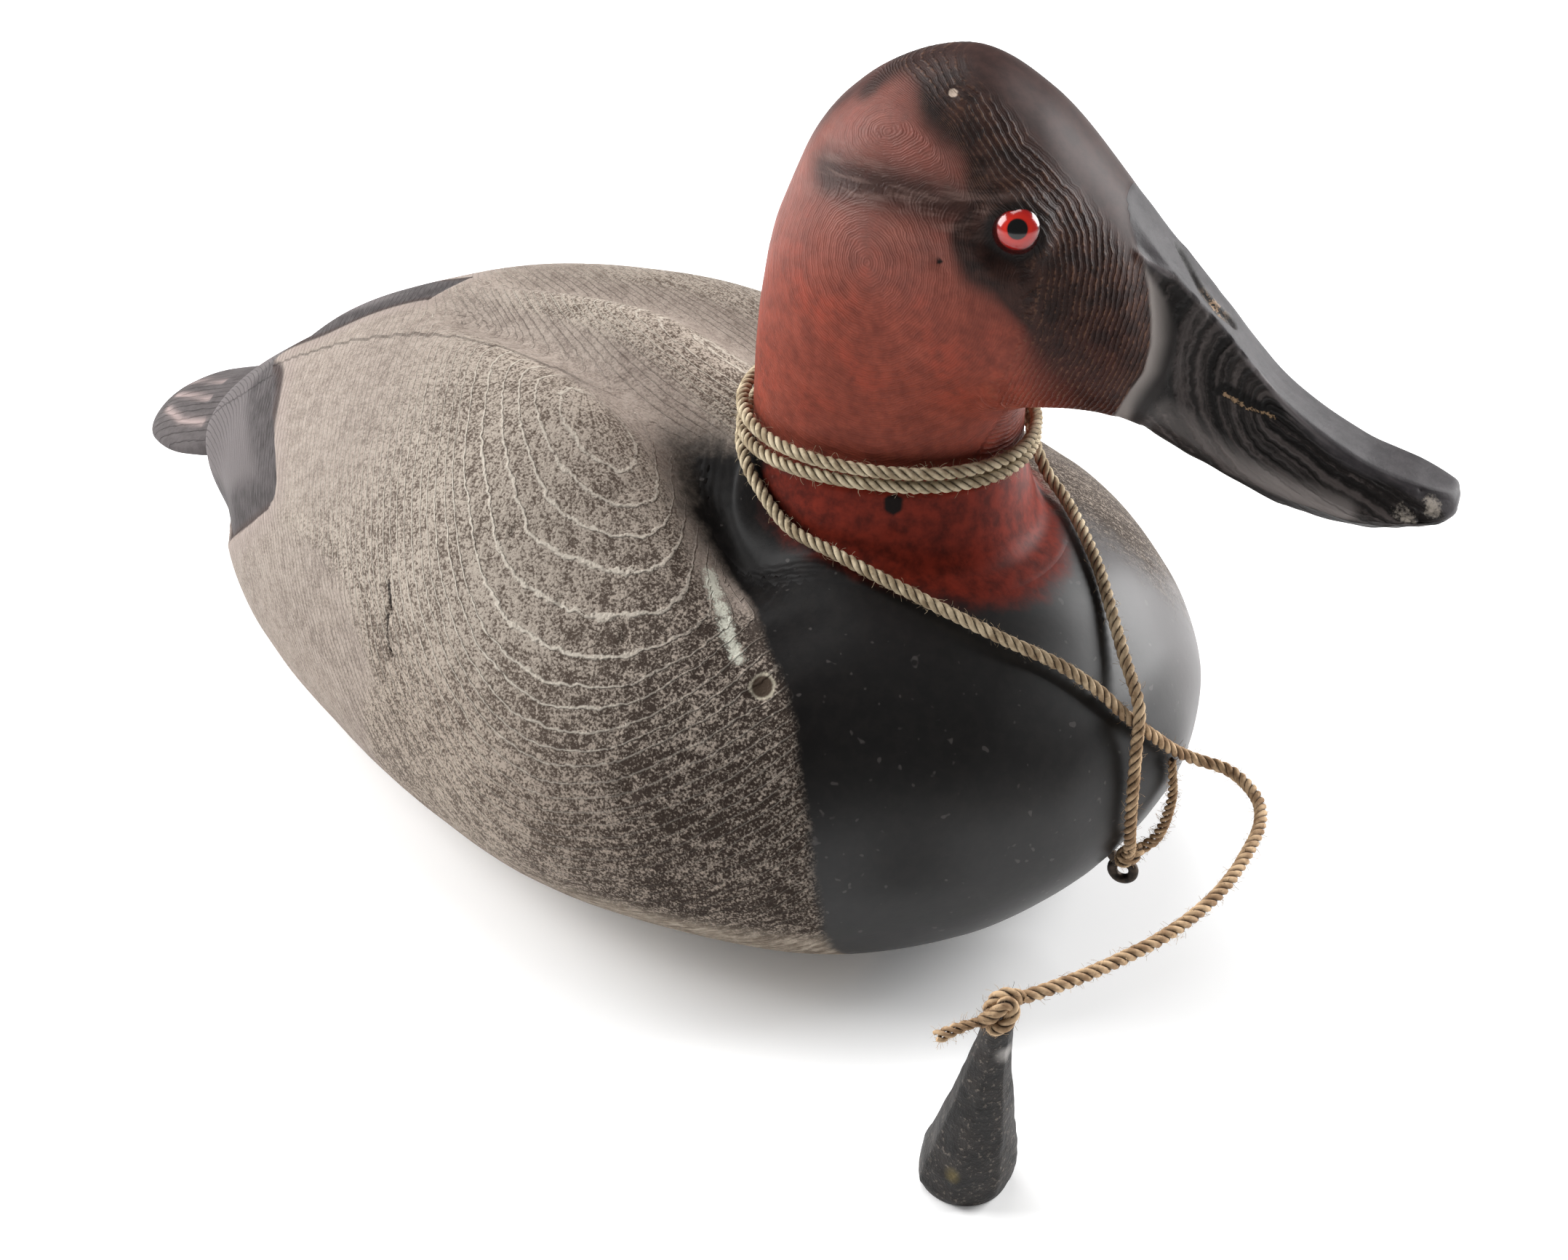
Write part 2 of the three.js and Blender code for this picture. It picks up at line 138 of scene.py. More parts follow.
# The cord's route from the screw eye up to the neck and from there to the weight, and its two loose ends.
CORD_FROM_EYE = [
    (151.8, -14, 36), (152.6, -16.8, 44), (152.6, -17.6, 54), (151.3, -15.4, 65.7), (149.4, -12, 74.6),
    (141, -4.7, 81.8), (133.7, 1.8, 87.8), (125.4, 9.7, 93.2), (115.6, 18, 97.2), (107, 24.5, 100),
    (101.4, 26.2, 103.5), (97.4, 27, 109), (93, 29.4, 115.5), (86.6, 32.4, 121.5), (77.9, 32.5, 125.5),
]
CORD_TO_WEIGHT = [
    (43, -21.4, 117), (50, -28.6, 114.4), (57.5, -32.2, 110.2), (67, -35.3, 106.1), (80, -36, 104.2),
    (94.5, -35.4, 101.4), (109, -32.7, 97.2), (122.5, -28, 91.8), (133.3, -21.8, 85.8), (141, -16.9, 79.2),
    (146.8, -13.1, 72.2), (151.3, -7.8, 65.6), (155, -2.9, 60), (158.5, 1.5, 56.2), (166.6, 4.8, 54),
    (176, -0.8, 54), (181, -9, 54.3), (184, -24, 54.8), (184.8, -36.7, 55), (183.7, -48.8, 55),
    (181, -61, 55.2), (177.6, -71, 55.5), (174.2, -80, 56), (170.1, -89, 56.5), (167.2, -94, 56.5),
]
EYE_TAIL = [
    (151.2, -5.6, 30.2), (153, -3.6, 32), (154.6, -3, 36), (155.8, -2.8, 42), (156.2, -2.8, 47.4),
    (156, -3.6, 53), (155.4, -3.6, 57.6),
]
WEIGHT_TAIL = [(162.6, -102.8, 54.2), (159.6, -105.2, 52.8), (156.2, -109, 51)]

# The photograph's camera: its direction from the duck, its distance and the place it looks at, and its lens.
CAMERA_AZIMUTH = math.radians(35.4)
CAMERA_RISE = math.radians(33.3)
CAMERA_DISTANCE = 576
CAMERA_TARGET = np.array((43, -3.6, 51.4))
CAMERA_LENS = 50.4
SENSOR_WIDTH = 36
TOWARD_CAMERA = np.array((
    math.sin(CAMERA_AZIMUTH) * math.cos(CAMERA_RISE),
    -math.cos(CAMERA_AZIMUTH) * math.cos(CAMERA_RISE),
    math.sin(CAMERA_RISE),
))


def place_camera():
    data = bpy.data.cameras.new("photo_view")
    data.lens = CAMERA_LENS
    data.sensor_width = SENSOR_WIDTH
    data.sensor_fit = "HORIZONTAL"
    data.clip_start = 0.02
    data.clip_end = 20
    camera = bpy.data.objects.new("photo_view", data)
    camera.location = Vector((CAMERA_TARGET + CAMERA_DISTANCE * TOWARD_CAMERA) * MM)
    camera.rotation_mode = "QUATERNION"
    camera.rotation_quaternion = Vector(-TOWARD_CAMERA).to_track_quat("-Z", "Y")
    bpy.context.collection.objects.link(camera)
    bpy.context.scene.camera = camera


def smooth(low, high, value):
    share = np.clip((value - low) / (high - low), 0, 1)
    return share * share * (3 - 2 * share)


def signed_power(value, power):
    return np.sign(value) * np.abs(value) ** power


def soft_max(a, b, width):
    """The greater of two values, rounded over where they are within a width of each other."""
    share = np.clip(0.5 + 0.5 * (a - b) / width, 0, 1)
    return b * (1 - share) + a * share + width * share * (1 - share)


def rows_at(rows, place):
    """Rows read at fractional places, on a Catmull-Rom curve through them."""
    padded = np.vstack([2 * rows[0] - rows[1], rows, 2 * rows[-1] - rows[-2]])
    i = np.clip(np.floor(place).astype(int), 0, len(rows) - 2)
    f = (place - i)[:, None]
    before, here, after, beyond = (padded[i + k] for k in range(4))
    slope = after - before
    bend = 2 * before - 5 * here + 4 * after - beyond
    twist = 3 * here - before - 3 * after + beyond
    return 0.5 * (2 * here + slope * f + bend * f ** 2 + twist * f ** 3)


def curve_through(points, step):
    """Centripetal curve through the points, sampled at about one point for each step."""
    p = np.array(points, float)
    p = np.vstack([2 * p[0] - p[1], p, 2 * p[-1] - p[-2]])
    t = np.concatenate([[0], np.cumsum(np.sqrt(np.linalg.norm(np.diff(p, axis=0), axis=1)))])
    made = []
    for i in range(1, len(p) - 2):
        count = max(2, int(np.linalg.norm(p[i + 1] - p[i]) / step))
        s = np.linspace(t[i], t[i + 1], count, endpoint=False)[:, None]

        def blend(a, b, ta, tb):
            return a * (tb - s) / (tb - ta) + b * (s - ta) / (tb - ta)

        a1 = blend(p[i - 1], p[i], t[i - 1], t[i])
        a2 = blend(p[i], p[i + 1], t[i], t[i + 1])
        a3 = blend(p[i + 1], p[i + 2], t[i + 1], t[i + 2])
        b1 = blend(a1, a2, t[i - 1], t[i + 1])
        b2 = blend(a2, a3, t[i], t[i + 2])
        made.append(blend(b1, b2, t[i], t[i + 1]))
    made.append(p[-2][None])
    return np.vstack(made)


class Lumps:
    """Smooth random lumps between -1 and 1, the same on each run."""

    SIZE = 24

    def __init__(self, seed):
        self.values = np.random.default_rng(seed).uniform(-1, 1, (self.SIZE,) * 3)

    def __call__(self, points, width):
        q = points / width
        cell = np.floor(q).astype(int)
        f = q - cell
        f = f * f * (3 - 2 * f)
        total = np.zeros(points.shape[:-1])
        for corner in itertools.product((0, 1), repeat=3):
            j = (cell + corner) % self.SIZE
            weight = np.prod(np.where(corner, f, 1 - f), axis=-1)
            total += weight * self.values[j[..., 0], j[..., 1], j[..., 2]]
        return total


lumps = Lumps(11)
other_lumps = Lumps(23)


def distance_to_line(points, line):
    """Distance from each point to a line of points, with the nearest place's own number along it."""
    best = np.full(points.shape[:-1], 1e9)
    where = np.zeros(points.shape[:-1])
    for i, (a, b) in enumerate(zip(line[:-1], line[1:])):
        share = np.clip(((points - a) @ (b - a)) / ((b - a) @ (b - a)), 0, 1)
        distance = np.linalg.norm(points - a - share[..., None] * (b - a), axis=-1)
        nearer = distance < best
        best = np.where(nearer, distance, best)
        where = np.where(nearer, i + share, where)
    return best, where


def heading_at(line, where):
    """Direction of a line of points at numbered places along it, shared between both sides of a corner."""
    step = np.diff(line, axis=0).astype(float)
    step /= np.linalg.norm(step, axis=1)[:, None]
    i = np.clip(where.astype(int), 0, len(step) - 1)
    share = where - i
    before = step[np.where(share < 1e-6, np.maximum(i - 1, 0), i)]
    after = step[np.where(share > 1 - 1e-6, np.minimum(i + 1, len(step) - 1), i)]
    return before + after, line[i] + share[..., None] * (line[i + 1] - line[i])


def line_gap(points, line):
    return distance_to_line(points, np.array(line, float))[0]


def away_from(points, place):
    return np.linalg.norm(points - place, axis=-1)


def dent(points, place, reach):
    """1 at a place, falling off steeply at its reach."""
    return np.exp(-(away_from(points, place) / reach) ** 4)


def side_of_line(points, line):
    """Signed distance to a flat line of points: positive on its left."""
    distance, where = distance_to_line(points, line)
    heading, foot = heading_at(line, where)
    away = points - foot
    return np.sign(heading[..., 0] * away[..., 1] - heading[..., 1] * away[..., 0]) * distance


def grid_normals(grid):
    """Unit normals of a grid of rings, pointing away from its middle."""
    along = np.gradient(grid, axis=0)
    round_it = np.roll(grid, -1, 1) - np.roll(grid, 1, 1)
    normal = np.cross(along, round_it)
    normal /= np.maximum(np.linalg.norm(normal, axis=-1, keepdims=True), 1e-9)
    outward = grid - grid.mean(axis=1, keepdims=True)
    return normal * np.sign((normal * outward).sum())


def ring_faces(rings, sides):
    """Quads between rings of points."""
    i, j = np.meshgrid(np.arange(rings - 1), np.arange(sides), indexing="ij")
    a = i * sides + j
    b = i * sides + (j + 1) % sides
    return np.stack([a, b, b + sides, a + sides], -1).reshape(-1, 4).tolist()


def closed_loft(grid):
    """Points and faces of a grid of rings, closed with a fan at each end."""
    rings, sides = grid.shape[:2]
    points = np.vstack([grid.reshape(-1, 3), grid[0].mean(0)[None], grid[-1].mean(0)[None]])
    faces = ring_faces(rings, sides)
    start, end = rings * sides, rings * sides + 1
    last = (rings - 1) * sides
    for j in range(sides):
        k = (j + 1) % sides
        faces.append([start, k, j])
        faces.append([end, last + j, last + k])
    return points, faces


def turned_out(points, faces):
    """The same faces, turned so that their sides face out of the closed shape."""
    volume = 0.0
    for size in (3, 4):
        corners = np.array([f for f in faces if len(f) == size])
        if len(corners):
            for k in range(1, size - 1):
                a, b, c = points[corners[:, 0]], points[corners[:, k]], points[corners[:, k + 1]]
                volume += (a * np.cross(b, c)).sum()
    return faces if volume > 0 else [f[::-1] for f in faces]


def make_piece(name, points, faces, material, marks=None):
    """A smooth piece from points in millimetres, with its per-point marks as attributes."""
    mesh = bpy.data.meshes.new(name)
    mesh.from_pydata((np.asarray(points) * MM).tolist(), [], turned_out(np.asarray(points), faces))
    mesh.shade_smooth()
    for mark, values in (marks or {}).items():
        layer = mesh.attributes.new(mark, "FLOAT", "POINT")
        layer.data.foreach_set("value", np.asarray(values, np.float32).ravel())
    mesh.materials.append(material)
    piece = bpy.data.objects.new(name, mesh)
    bpy.context.collection.objects.link(piece)
    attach(piece, "root")
    return piece


class Signal:
    """A number in a node tree. Python's operators on it add Math nodes."""

    def __init__(self, graph, socket):
        self.graph = graph
        self.socket = socket

    def maths(self, operation, *others):
        return self.graph.maths(operation, self, *others)

    def __add__(self, other):
        return self.maths("ADD", other)

    def __sub__(self, other):
        return self.maths("SUBTRACT", other)

    def __mul__(self, other):
        return self.maths("MULTIPLY", other)

    def __truediv__(self, other):
        return self.maths("DIVIDE", other)

    def __rsub__(self, other):
        return self.graph.maths("SUBTRACT", other, self)

    def __neg__(self):
        return self.graph.maths("SUBTRACT", 0, self)

    __radd__ = __add__
    __rmul__ = __mul__


class Graph:
    """A node tree with one way to add any node."""

    def __init__(self, tree):
        self.tree = tree

    def node(self, kind, settings=None, inputs=None, output=0):
        node = self.tree.nodes.new(kind)
        for key, value in (settings or {}).items():
            setattr(node, key, value)
        for key, value in (inputs or {}).items():
            self.feed(node.inputs[key], value)
        return Signal(self, node.outputs[output])

    def feed(self, socket, value):
        if isinstance(value, Signal):
            self.tree.links.new(value.socket, socket)
        else:
            socket.default_value = value

    def maths(self, operation, *values):
        return self.node("ShaderNodeMath", {"operation": operation}, dict(enumerate(values)))

    def vector(self, operation, *values, output=0):
        return self.node("ShaderNodeVectorMath", {"operation": operation}, dict(enumerate(values)), output)

    def swept(self, curve, profile):
        inputs = {"Curve": curve, "Profile Curve": profile, "Fill Caps": True}
        return self.node("GeometryNodeCurveToMesh", {}, inputs)

    def scaled(self, vector, size):
        return self.node("ShaderNodeVectorMath", {"operation": "SCALE"}, {"Vector": vector, "Scale": size})


class Finish(Graph):
    """A material of one Principled shader, with the parts that its pattern is made from."""

    def __init__(self, name, **constants):
        self.material = bpy.data.materials.new(name)
        self.material.use_nodes = True
        super().__init__(self.material.node_tree)
        self.shader = self.tree.nodes["Principled BSDF"]
        self.set(**constants)
        self.place = self.node("ShaderNodeTexCoord", output="Object")

    def set(self, **values):
        for key, value in values.items():
            self.feed(self.shader.inputs[key.replace("_", " ")], value)

    def mark(self, name):
        return self.node("ShaderNodeAttribute", {"attribute_name": name}, output="Fac")

    def coordinates(self):
        """The surface's x, y and z in millimetres."""
        parts = self.node("ShaderNodeSeparateXYZ", {}, {"Vector": self.place}).socket.node.outputs
        return tuple(Signal(self, parts[axis]) / MM for axis in "XYZ")

    def stretched(self, x, y, z):
        """Object coordinates in millimetres, divided by a size for each axis."""
        return self.vector("MULTIPLY", self.place, (1 / (x * MM), 1 / (y * MM), 1 / (z * MM)))

    def noise(self, size, detail=2.0, roughness=0.5, place=None, shift=0.0):
        """Noise of about this size in millimetres, or of unit size over a given place."""
        scale = 1.0 if place is not None else 1 / (size * MM)
        where = place if place is not None else self.place
        if shift:
            where = self.vector("ADD", where, (shift, shift, shift))
        settings = {"noise_dimensions": "3D"}
        inputs = {"Vector": where, "Scale": scale, "Detail": detail, "Roughness": roughness}
        return self.node("ShaderNodeTexNoise", settings, inputs)

    def ramp(self, value, low, high):
        """0 below low and 1 above high, smooth between."""
        settings = {"interpolation_type": "SMOOTHSTEP", "clamp": True}
        return self.node("ShaderNodeMapRange", settings, {"Value": value, "From Min": low, "From Max": high})

    def fall(self, value, low, high):
        """1 below low and 0 above high, smooth between."""
        return 1 - self.ramp(value, low, high)

    def lines(self, count, inside, outside):
        """1 on each whole number of a count, 0 beyond outside on both sides of it."""
        return self.fall((count - count.maths("ROUND")).maths("ABSOLUTE"), inside, outside)

    def near(self, point, inside, outside):
        """1 nearer to a point than inside, 0 beyond outside (mm)."""
        away = self.vector("DISTANCE", self.place, tuple(v * MM for v in point), output="Value")
        return self.fall(away, inside * MM, outside * MM)

    def mix(self, share, first, second):
        """Two numbers or two colours mixed by a share. A colour can be given as it looks on screen."""
        if all(isinstance(value, Signal) and value.socket.type == "VALUE" for value in (first, second)):
            return first + (second - first) * share
        first, second = (value if isinstance(value, Signal) else paint(*value) for value in (first, second))
        settings = {"data_type": "RGBA", "blend_type": "MIX", "clamp_factor": True}
        return self.node("ShaderNodeMix", settings, {0: share, 6: first, 7: second}, 2)

    def between(self, value, low, high, first, second):
        """One colour below low and another above high, mixed between."""
        return self.mix(self.ramp(value, low, high), first, second)

    def bump(self, height, distance, strength=1.0):
        inputs = {"Height": height, "Distance": distance * MM, "Strength": strength}
        self.set(Normal=self.node("ShaderNodeBump", {}, inputs))


def paint(red, green, blue):
    """A colour as seen on screen, 0 to 255, as the linear colour that a shader takes."""
    def linear(value):
        value /= 255
        return value / 12.92 if value <= 0.04045 else ((value + 0.055) / 1.055) ** 2.4
    return (linear(red), linear(green), linear(blue), 1.0)


def plain_curve(points, count):
    """Uniform Catmull-Rom curve through flat points."""
    return rows_at(np.array(points, float), np.linspace(0, len(points) - 1, count))


VALLEY_COUNT = 61
VALLEY_POINTS = plain_curve(VALLEY_LINE, VALLEY_COUNT)
EDGE_STEP = 2.0
EDGE_POINTS = curve_through(FLANK_EDGE, EDGE_STEP)


def valley_depth(x, y):
    """How deep the valley beside the back is over a place, shallower at both of its ends."""
    here = np.stack([x, np.abs(y)], -1)
    gap = np.linalg.norm(here[..., None, :] - VALLEY_POINTS, axis=-1)
    nearest_x = VALLEY_POINTS[gap.argmin(-1), 0]
    growth = smooth(-72, -45, nearest_x) * (1 + 0.5 * smooth(20, 52, nearest_x))
    fade = 1 - 0.75 * smooth(58, 76, nearest_x)
    width = 9 + 3 * smooth(-60, 40, nearest_x)
    return VALLEY_DEPTH * growth * fade * np.exp(-(gap.min(-1) / width) ** 2)


def neck_frame(x, y):
    """Distances forward and to the left of the neck's middle."""
    c, s = math.cos(HEAD_TURN), math.sin(HEAD_TURN)
    return (x - NECK_X) * c + y * s - NECK_CENTRE, -(x - NECK_X) * s + y * c


def on_neck(points):
    """Points of the neck's own frame in the shared frame."""
    c, s = math.cos(HEAD_TURN), math.sin(HEAD_TURN)
    x, y, z = points[..., 0], points[..., 1], points[..., 2]
    return np.stack([NECK_X + x * c - y * s, x * s + y * c, z], -1)


# Distances out from the neck's outline are searched in this range, halved this often.
LEAST_OUT = -25.0
MOST_OUT = 400.0
HALVINGS = 26


def out_of_neck(x, y):
    """How far a place lies outside the neck's outline, seen from above."""
    u, v = neck_frame(x, y)
    low = np.full(np.shape(u), LEAST_OUT)
    high = np.full(np.shape(u), MOST_OUT)
    for _ in range(HALVINGS):
        middle = (low + high) / 2
        size = (np.abs(u) / (NECK_HALF_LENGTH + middle)) ** HEAD_SQUARENESS
        size += (np.abs(v) / (NECK_HALF_WIDTH + middle)) ** HEAD_SQUARENESS
        low = np.where(size > 1, middle, low)
        high = np.where(size > 1, high, middle)
    return (low + high) / 2


def round_neck(angle, out, z):
    """A point round the neck at an angle from the bill's direction, outside its outline."""
    power = 2 / HEAD_SQUARENESS
    x = NECK_CENTRE + (NECK_HALF_LENGTH + out) * signed_power(np.cos(angle), power)
    y = (NECK_HALF_WIDTH + out) * signed_power(np.sin(angle), power)
    return on_neck(np.stack(np.broadcast_arrays(x, y, z), -1))


def neck_flare(out):
    """Height of the neck's flared foot at a distance out from its outline."""
    out = np.maximum(out, 0)
    spent = 2 * np.maximum(out - FLARE_RUN, 0)
    return FLARE_FOOT_Z + (SEAT_Z - FLARE_FOOT_Z) * np.exp(-out / FLARE_REACH) - FLARE_SLOPE * out - spent


def back_height(x, y):
    """Height of the upper body over a place, without the neck."""
    place = np.linspace(0, len(BODY_ROWS) - 1, 2000)
    table = rows_at(BODY_ROWS, place)
    row = rows_at(BODY_ROWS, np.interp(x.ravel(), table[:, 0], place))
    half, top, wide = (row[:, k].reshape(x.shape) for k in (1, 2, 4))
    across = np.clip(np.abs(y) / np.maximum(half, 0.1), 0, 1) ** (BACK_SQUARENESS / 2)
    rise = np.sqrt(1 - across ** 2) ** (2 / BACK_SQUARENESS)
    return wide + (top - wide) * rise - valley_depth(x, y) * smooth(0.1, 0.5, rise)


# The carved edge's line lies up to this far off the body's plain surface.
EDGE_OFF_SURFACE = 2.5


def past_flank_edge(points, normals):
    """Signed distance over the surface past the flank's carved edge, toward the rump."""
    right = points * (1, 0, 1) - np.abs(points[..., 1:2]) * (0, 1, 0)
    out = normals * np.where(points[..., 1:2] > 0, (1, -1, 1), (1, 1, 1))
    distance, where = distance_to_line(right, EDGE_POINTS)
    heading, foot = heading_at(EDGE_POINTS, where)
    away = right - foot
    off_surface = np.minimum(np.minimum(np.abs((away * out).sum(-1)), distance), EDGE_OFF_SURFACE)
    distance = np.sqrt(distance ** 2 - off_surface ** 2)
    side = (np.cross(away, heading) * out).sum(-1)
    return np.where(right[..., 0] > RUMP_FRONT, -distance, np.sign(side) * distance)


def spaced(weights, count):
    """Places that share out the weights evenly, as fractions of their length."""
    total = np.concatenate([[0], np.cumsum(weights)])
    return np.interp(np.linspace(0, total[-1], count), total, np.arange(len(total)))


# How many rings the body has from rump to breast, how many points each has, and the steps that space them.
BODY_STATIONS = 404
BODY_RUN = 214
FINE_STEPS = 4000
FINE_TURN = 2001
# The body's widest section: its half width, the height of its widest line, its reach up and down from there.
WIDEST_HALF = 96
WIDEST_HEIGHT = 43
WIDEST_UP = 80
WIDEST_DOWN = 47


def body_stations():
    """Places along the body's rows, closer together over the ringed flank."""
    place = np.linspace(0, len(BODY_ROWS) - 1, FINE_STEPS)
    table = rows_at(BODY_ROWS, place)
    step = np.diff(table, axis=0)
    length = np.hypot(step[:, 0], 0.6 * step[:, 2], 0.6 * step[:, 1]) + 0.3 * np.abs(step[:, 1])
    x = table[:-1, 0]
    length *= 1 + 0.7 * smooth(-60, -20, x) * (1 - smooth(70, 95, x))
    return np.interp(spaced(length, BODY_STATIONS), np.arange(FINE_STEPS), place)


def body_angles():
    """Angles round the body from the back's middle, down the right side and up the left."""
    angle = np.linspace(0.25, 1.25, FINE_TURN) * TURN
    power = np.where(np.sin(angle) > 0, 2 / BACK_SQUARENESS, 2 / BILGE_SQUARENESS)
    y = WIDEST_HALF * signed_power(np.cos(angle), power)
    reach = np.where(np.sin(angle) > 0, WIDEST_UP, WIDEST_DOWN)
    z = np.maximum(WIDEST_HEIGHT + reach * signed_power(np.sin(angle), power), 0)
    length = np.hypot(np.diff(y), np.diff(z))
    right, high = y[:-1] < 0, z[:-1] > 0.5
    length *= np.where(high, np.where(right, 1.5, 0.9), 0.12)
    return np.interp(spaced(length, BODY_RUN + 1), np.arange(FINE_TURN), angle)[:-1]


def raw_body_grid():
    """Rings of the plain body from rump to breast, with the valleys but without wear."""
    row = rows_at(BODY_ROWS, body_stations())
    angle = body_angles()
    x, half, top, bottom, wide = (row[:, k:k + 1] for k in range(5))
    rise = np.sin(angle)
    power = np.where(rise > 0, 2 / BACK_SQUARENESS, 2 / BILGE_SQUARENESS)
    y = half * signed_power(np.cos(angle), power)
    height = np.abs(rise) ** power
    x = np.broadcast_to(x, y.shape)
    upper = wide + (top - wide) * height - valley_depth(x, y) * smooth(0.1, 0.5, height)
    lower = wide - (wide - bottom) * height
    return np.stack([x, y, np.maximum(np.where(rise > 0, upper, lower), 0)], -1)


def arcs_from_back(grid):
    """Distance over the surface from the back's middle, down each side."""
    step = np.linalg.norm(np.roll(grid, -1, 1) - grid, axis=-1)
    down_right = np.cumsum(np.concatenate([np.zeros((len(grid), 1)), step[:, :-1]], 1), 1)
    total = step.sum(1, keepdims=True)
    return np.minimum(down_right, total - down_right)


bare_body = raw_body_grid()
bare_arcs = arcs_from_back(bare_body)
bare_tree = KDTree(bare_arcs.size)
for number, point in enumerate(bare_body.reshape(-1, 3).tolist()):
    bare_tree.insert(point, number)
bare_tree.balance()


def map_place(points):
    """Surface points laid out flat: x, and the distance from the back's middle, positive on the right."""
    shape = points.shape[:-1]
    nearest = [bare_tree.find(point)[1] for point in points.reshape(-1, 3).tolist()]
    arc = bare_arcs.ravel()[nearest].reshape(shape)
    return np.stack([points[..., 0], arc * np.where(points[..., 1] <= 0, 1, -1)], -1)


# The tree's growth rings: where their axis crosses x = 0, its slopes and bends, and their flatness.
RINGS_AXIS = (-54.2, -271.5)
AXIS_SLOPES = (0.067, -0.572)
AXIS_BENDS = (-0.00109, 0.00654)
RINGS_FLATNESS = 0.177
# Sizes of the rings that stand out as ridges on the flank, and the pitch of those beyond.
RIDGE_SIZES = (
    150.2, 151.6, 152.6, 153.7, 155.05, 156, 157.4, 159.2, 161.1, 162.6, 164, 165.4, 166.9, 168.4,
)
RING_PITCH = 1.28
# The knot on the map that the rings close round, and the radius at which distance along them is measured.
KNOT_OF_GRAIN = (-2, 28)
KNOT_REACH = 70
# How much of the valley's depth counts in a ring's size.
VALLEY_CUT = 0.6


def ring_size(points):
    """The size of the growth ring that a surface point lies on; the valley cuts down through the rings."""
    x = points[..., 0]
    y = points[..., 1] - RINGS_AXIS[0] - AXIS_SLOPES[0] * x - AXIS_BENDS[0] * x * x
    z = points[..., 2] - RINGS_AXIS[1] - AXIS_SLOPES[1] * x - AXIS_BENDS[1] * x * x
    return np.sqrt(y * y + RINGS_FLATNESS * z * z) - VALLEY_CUT * valley_depth(x, points[..., 1])


def run_of_rings(flat):
    """Distance along a ring on the map, round the knot where the rings close on the flank."""
    away = flat - KNOT_OF_GRAIN
    return np.arctan2(away[..., 1], away[..., 0]) * KNOT_REACH


def ring_count(size):
    """The number of the growth ring of a size, whole on each ridge."""
    below = np.minimum(size - RIDGE_SIZES[0], 0) / RING_PITCH
    above = np.maximum(size - RIDGE_SIZES[-1], 0) / RING_PITCH
    return 100 + np.interp(size, RIDGE_SIZES, np.arange(len(RIDGE_SIZES))) + below + above


def ridge_at(count, sharpness):
    """1 on each whole count, falling to 0 on both sides."""
    gap = np.abs(count - np.round(count))
    return np.exp(-(gap / sharpness) ** 2)


# Marks of wear and carving on the right flank, and the edges of its smooth part and of the paint.
SOFT_RIDGE = [(-78, -63, 77), (-56, -73, 78), (-37, -81, 73), (-24, -87, 65), (-13, -92, 55)]
SOFT_GROOVE = [(-66, -70, 77), (-54, -74, 75), (-41, -79, 74)]
CRACK = [
    (-20.7, -81.4, 83), (-18.6, -83.2, 80), (-17.3, -84.3, 77.5), (-18.2, -85.4, 75), (-17, -86.4, 72),
    (-14.4, -88.8, 67),
]
SMOOTH_EDGE = [
    (-75, -64.5, 77), (-53, -73, 80), (-36, -80, 76), (-28, -84, 71), (-19, -89, 60), (-26, -88, 44),
    (-25, -87, 31),
]
CARVED_ARC = [(27, -50, 108), (28, -47, 109), (31, -40, 108)]
# Dents in the body: place, reach and depth.
DENTS = [
    ((61, -92, 62), 3.2, 0.9), ((30, -76, 92), 1.1, 0.8), ((48, -75, 89), 1.2, 0.9),
    ((11, -69, 102), 1.0, 0.7), ((55, -87, 73), 1.1, 0.8), ((-17, 38, 122), 3, 0.7),
    ((7, -2, 125), 2.6, 0.6), ((82, -68, 84), 3.0, 1.0), ((89, -25, 110), 2.2, 2.0),
    ((-17.5, -84.5, 77.4), 1.2, 0.9), ((-14.6, -88.6, 67.4), 1.3, 1.0),
]
RINGED_PIT = (82, -67, 85)
PLUG_HOLE = (89, -25, 115)
WORN_STREAK = [(55, -50, 97), (61, -56, 96), (69, -62, 91), (74, -65, 88)]
# Where the black's edge runs back into the valley beside the neck, its soft dark is partly paint and partly
# painted shade.
BLACK_EDGE_RIGHT = [
    (48, -12, 112), (30, -17, 113), (22, -23, 111), (29, -31, 106), (39, -40, 102), (50, -45, 98),
    (60, -47, 96), (71, -54, 94), (80, -61, 89), (87, -65, 85), (93, -69, 79), (96, -73, 73),
    (99, -75, 67), (102, -76, 59), (105, -77, 37), (103, -70, 12),
]
BLACK_EDGE_LEFT = [
    (110, 27, 96), (123, 27, 89), (131, 33, 80), (131, 44, 66), (124, 56, 48), (114, 63, 28), (106, 60, 6),
]
RED_EDGE = np.array([
    (54, -20), (56, -29), (60, -31), (65, -33), (71, -34), (80, -35), (90, -35), (100, -31), (110, -25),
    (118, -16), (121, -8), (120, 4), (112, 16), (97, 30), (84, 35), (70, 34), (56, 28), (45, 18), (40, 5),
    (42, -8), (54, -20),
])
RED_FOOT_Z = 70
OUT_OF_RED = -10
# Carved and worn lines on the body: their points, reach and height.
BODY_LINES = ((SOFT_RIDGE, 3.5, 0.9), (SOFT_GROOVE, 1.3, -0.7), (CRACK, 0.8, -0.5), (CARVED_ARC, 0.9, -0.4))


def along_lines(points, lines, reach):
    """Fades from 1 on the lines to 0 beyond their reach."""
    gap = np.min([line_gap(points, line) for line in lines], axis=0)
    return np.exp(-(gap / reach) ** 2)


def carved(points, lines, dents=()):
    """How far carved and worn lines and dents raise or lower a surface (mm)."""
    height = sum(rise * along_lines(points, [line], reach) for line, reach, rise in lines)
    return height - sum(depth * dent(points, place, reach) for place, reach, depth in dents)


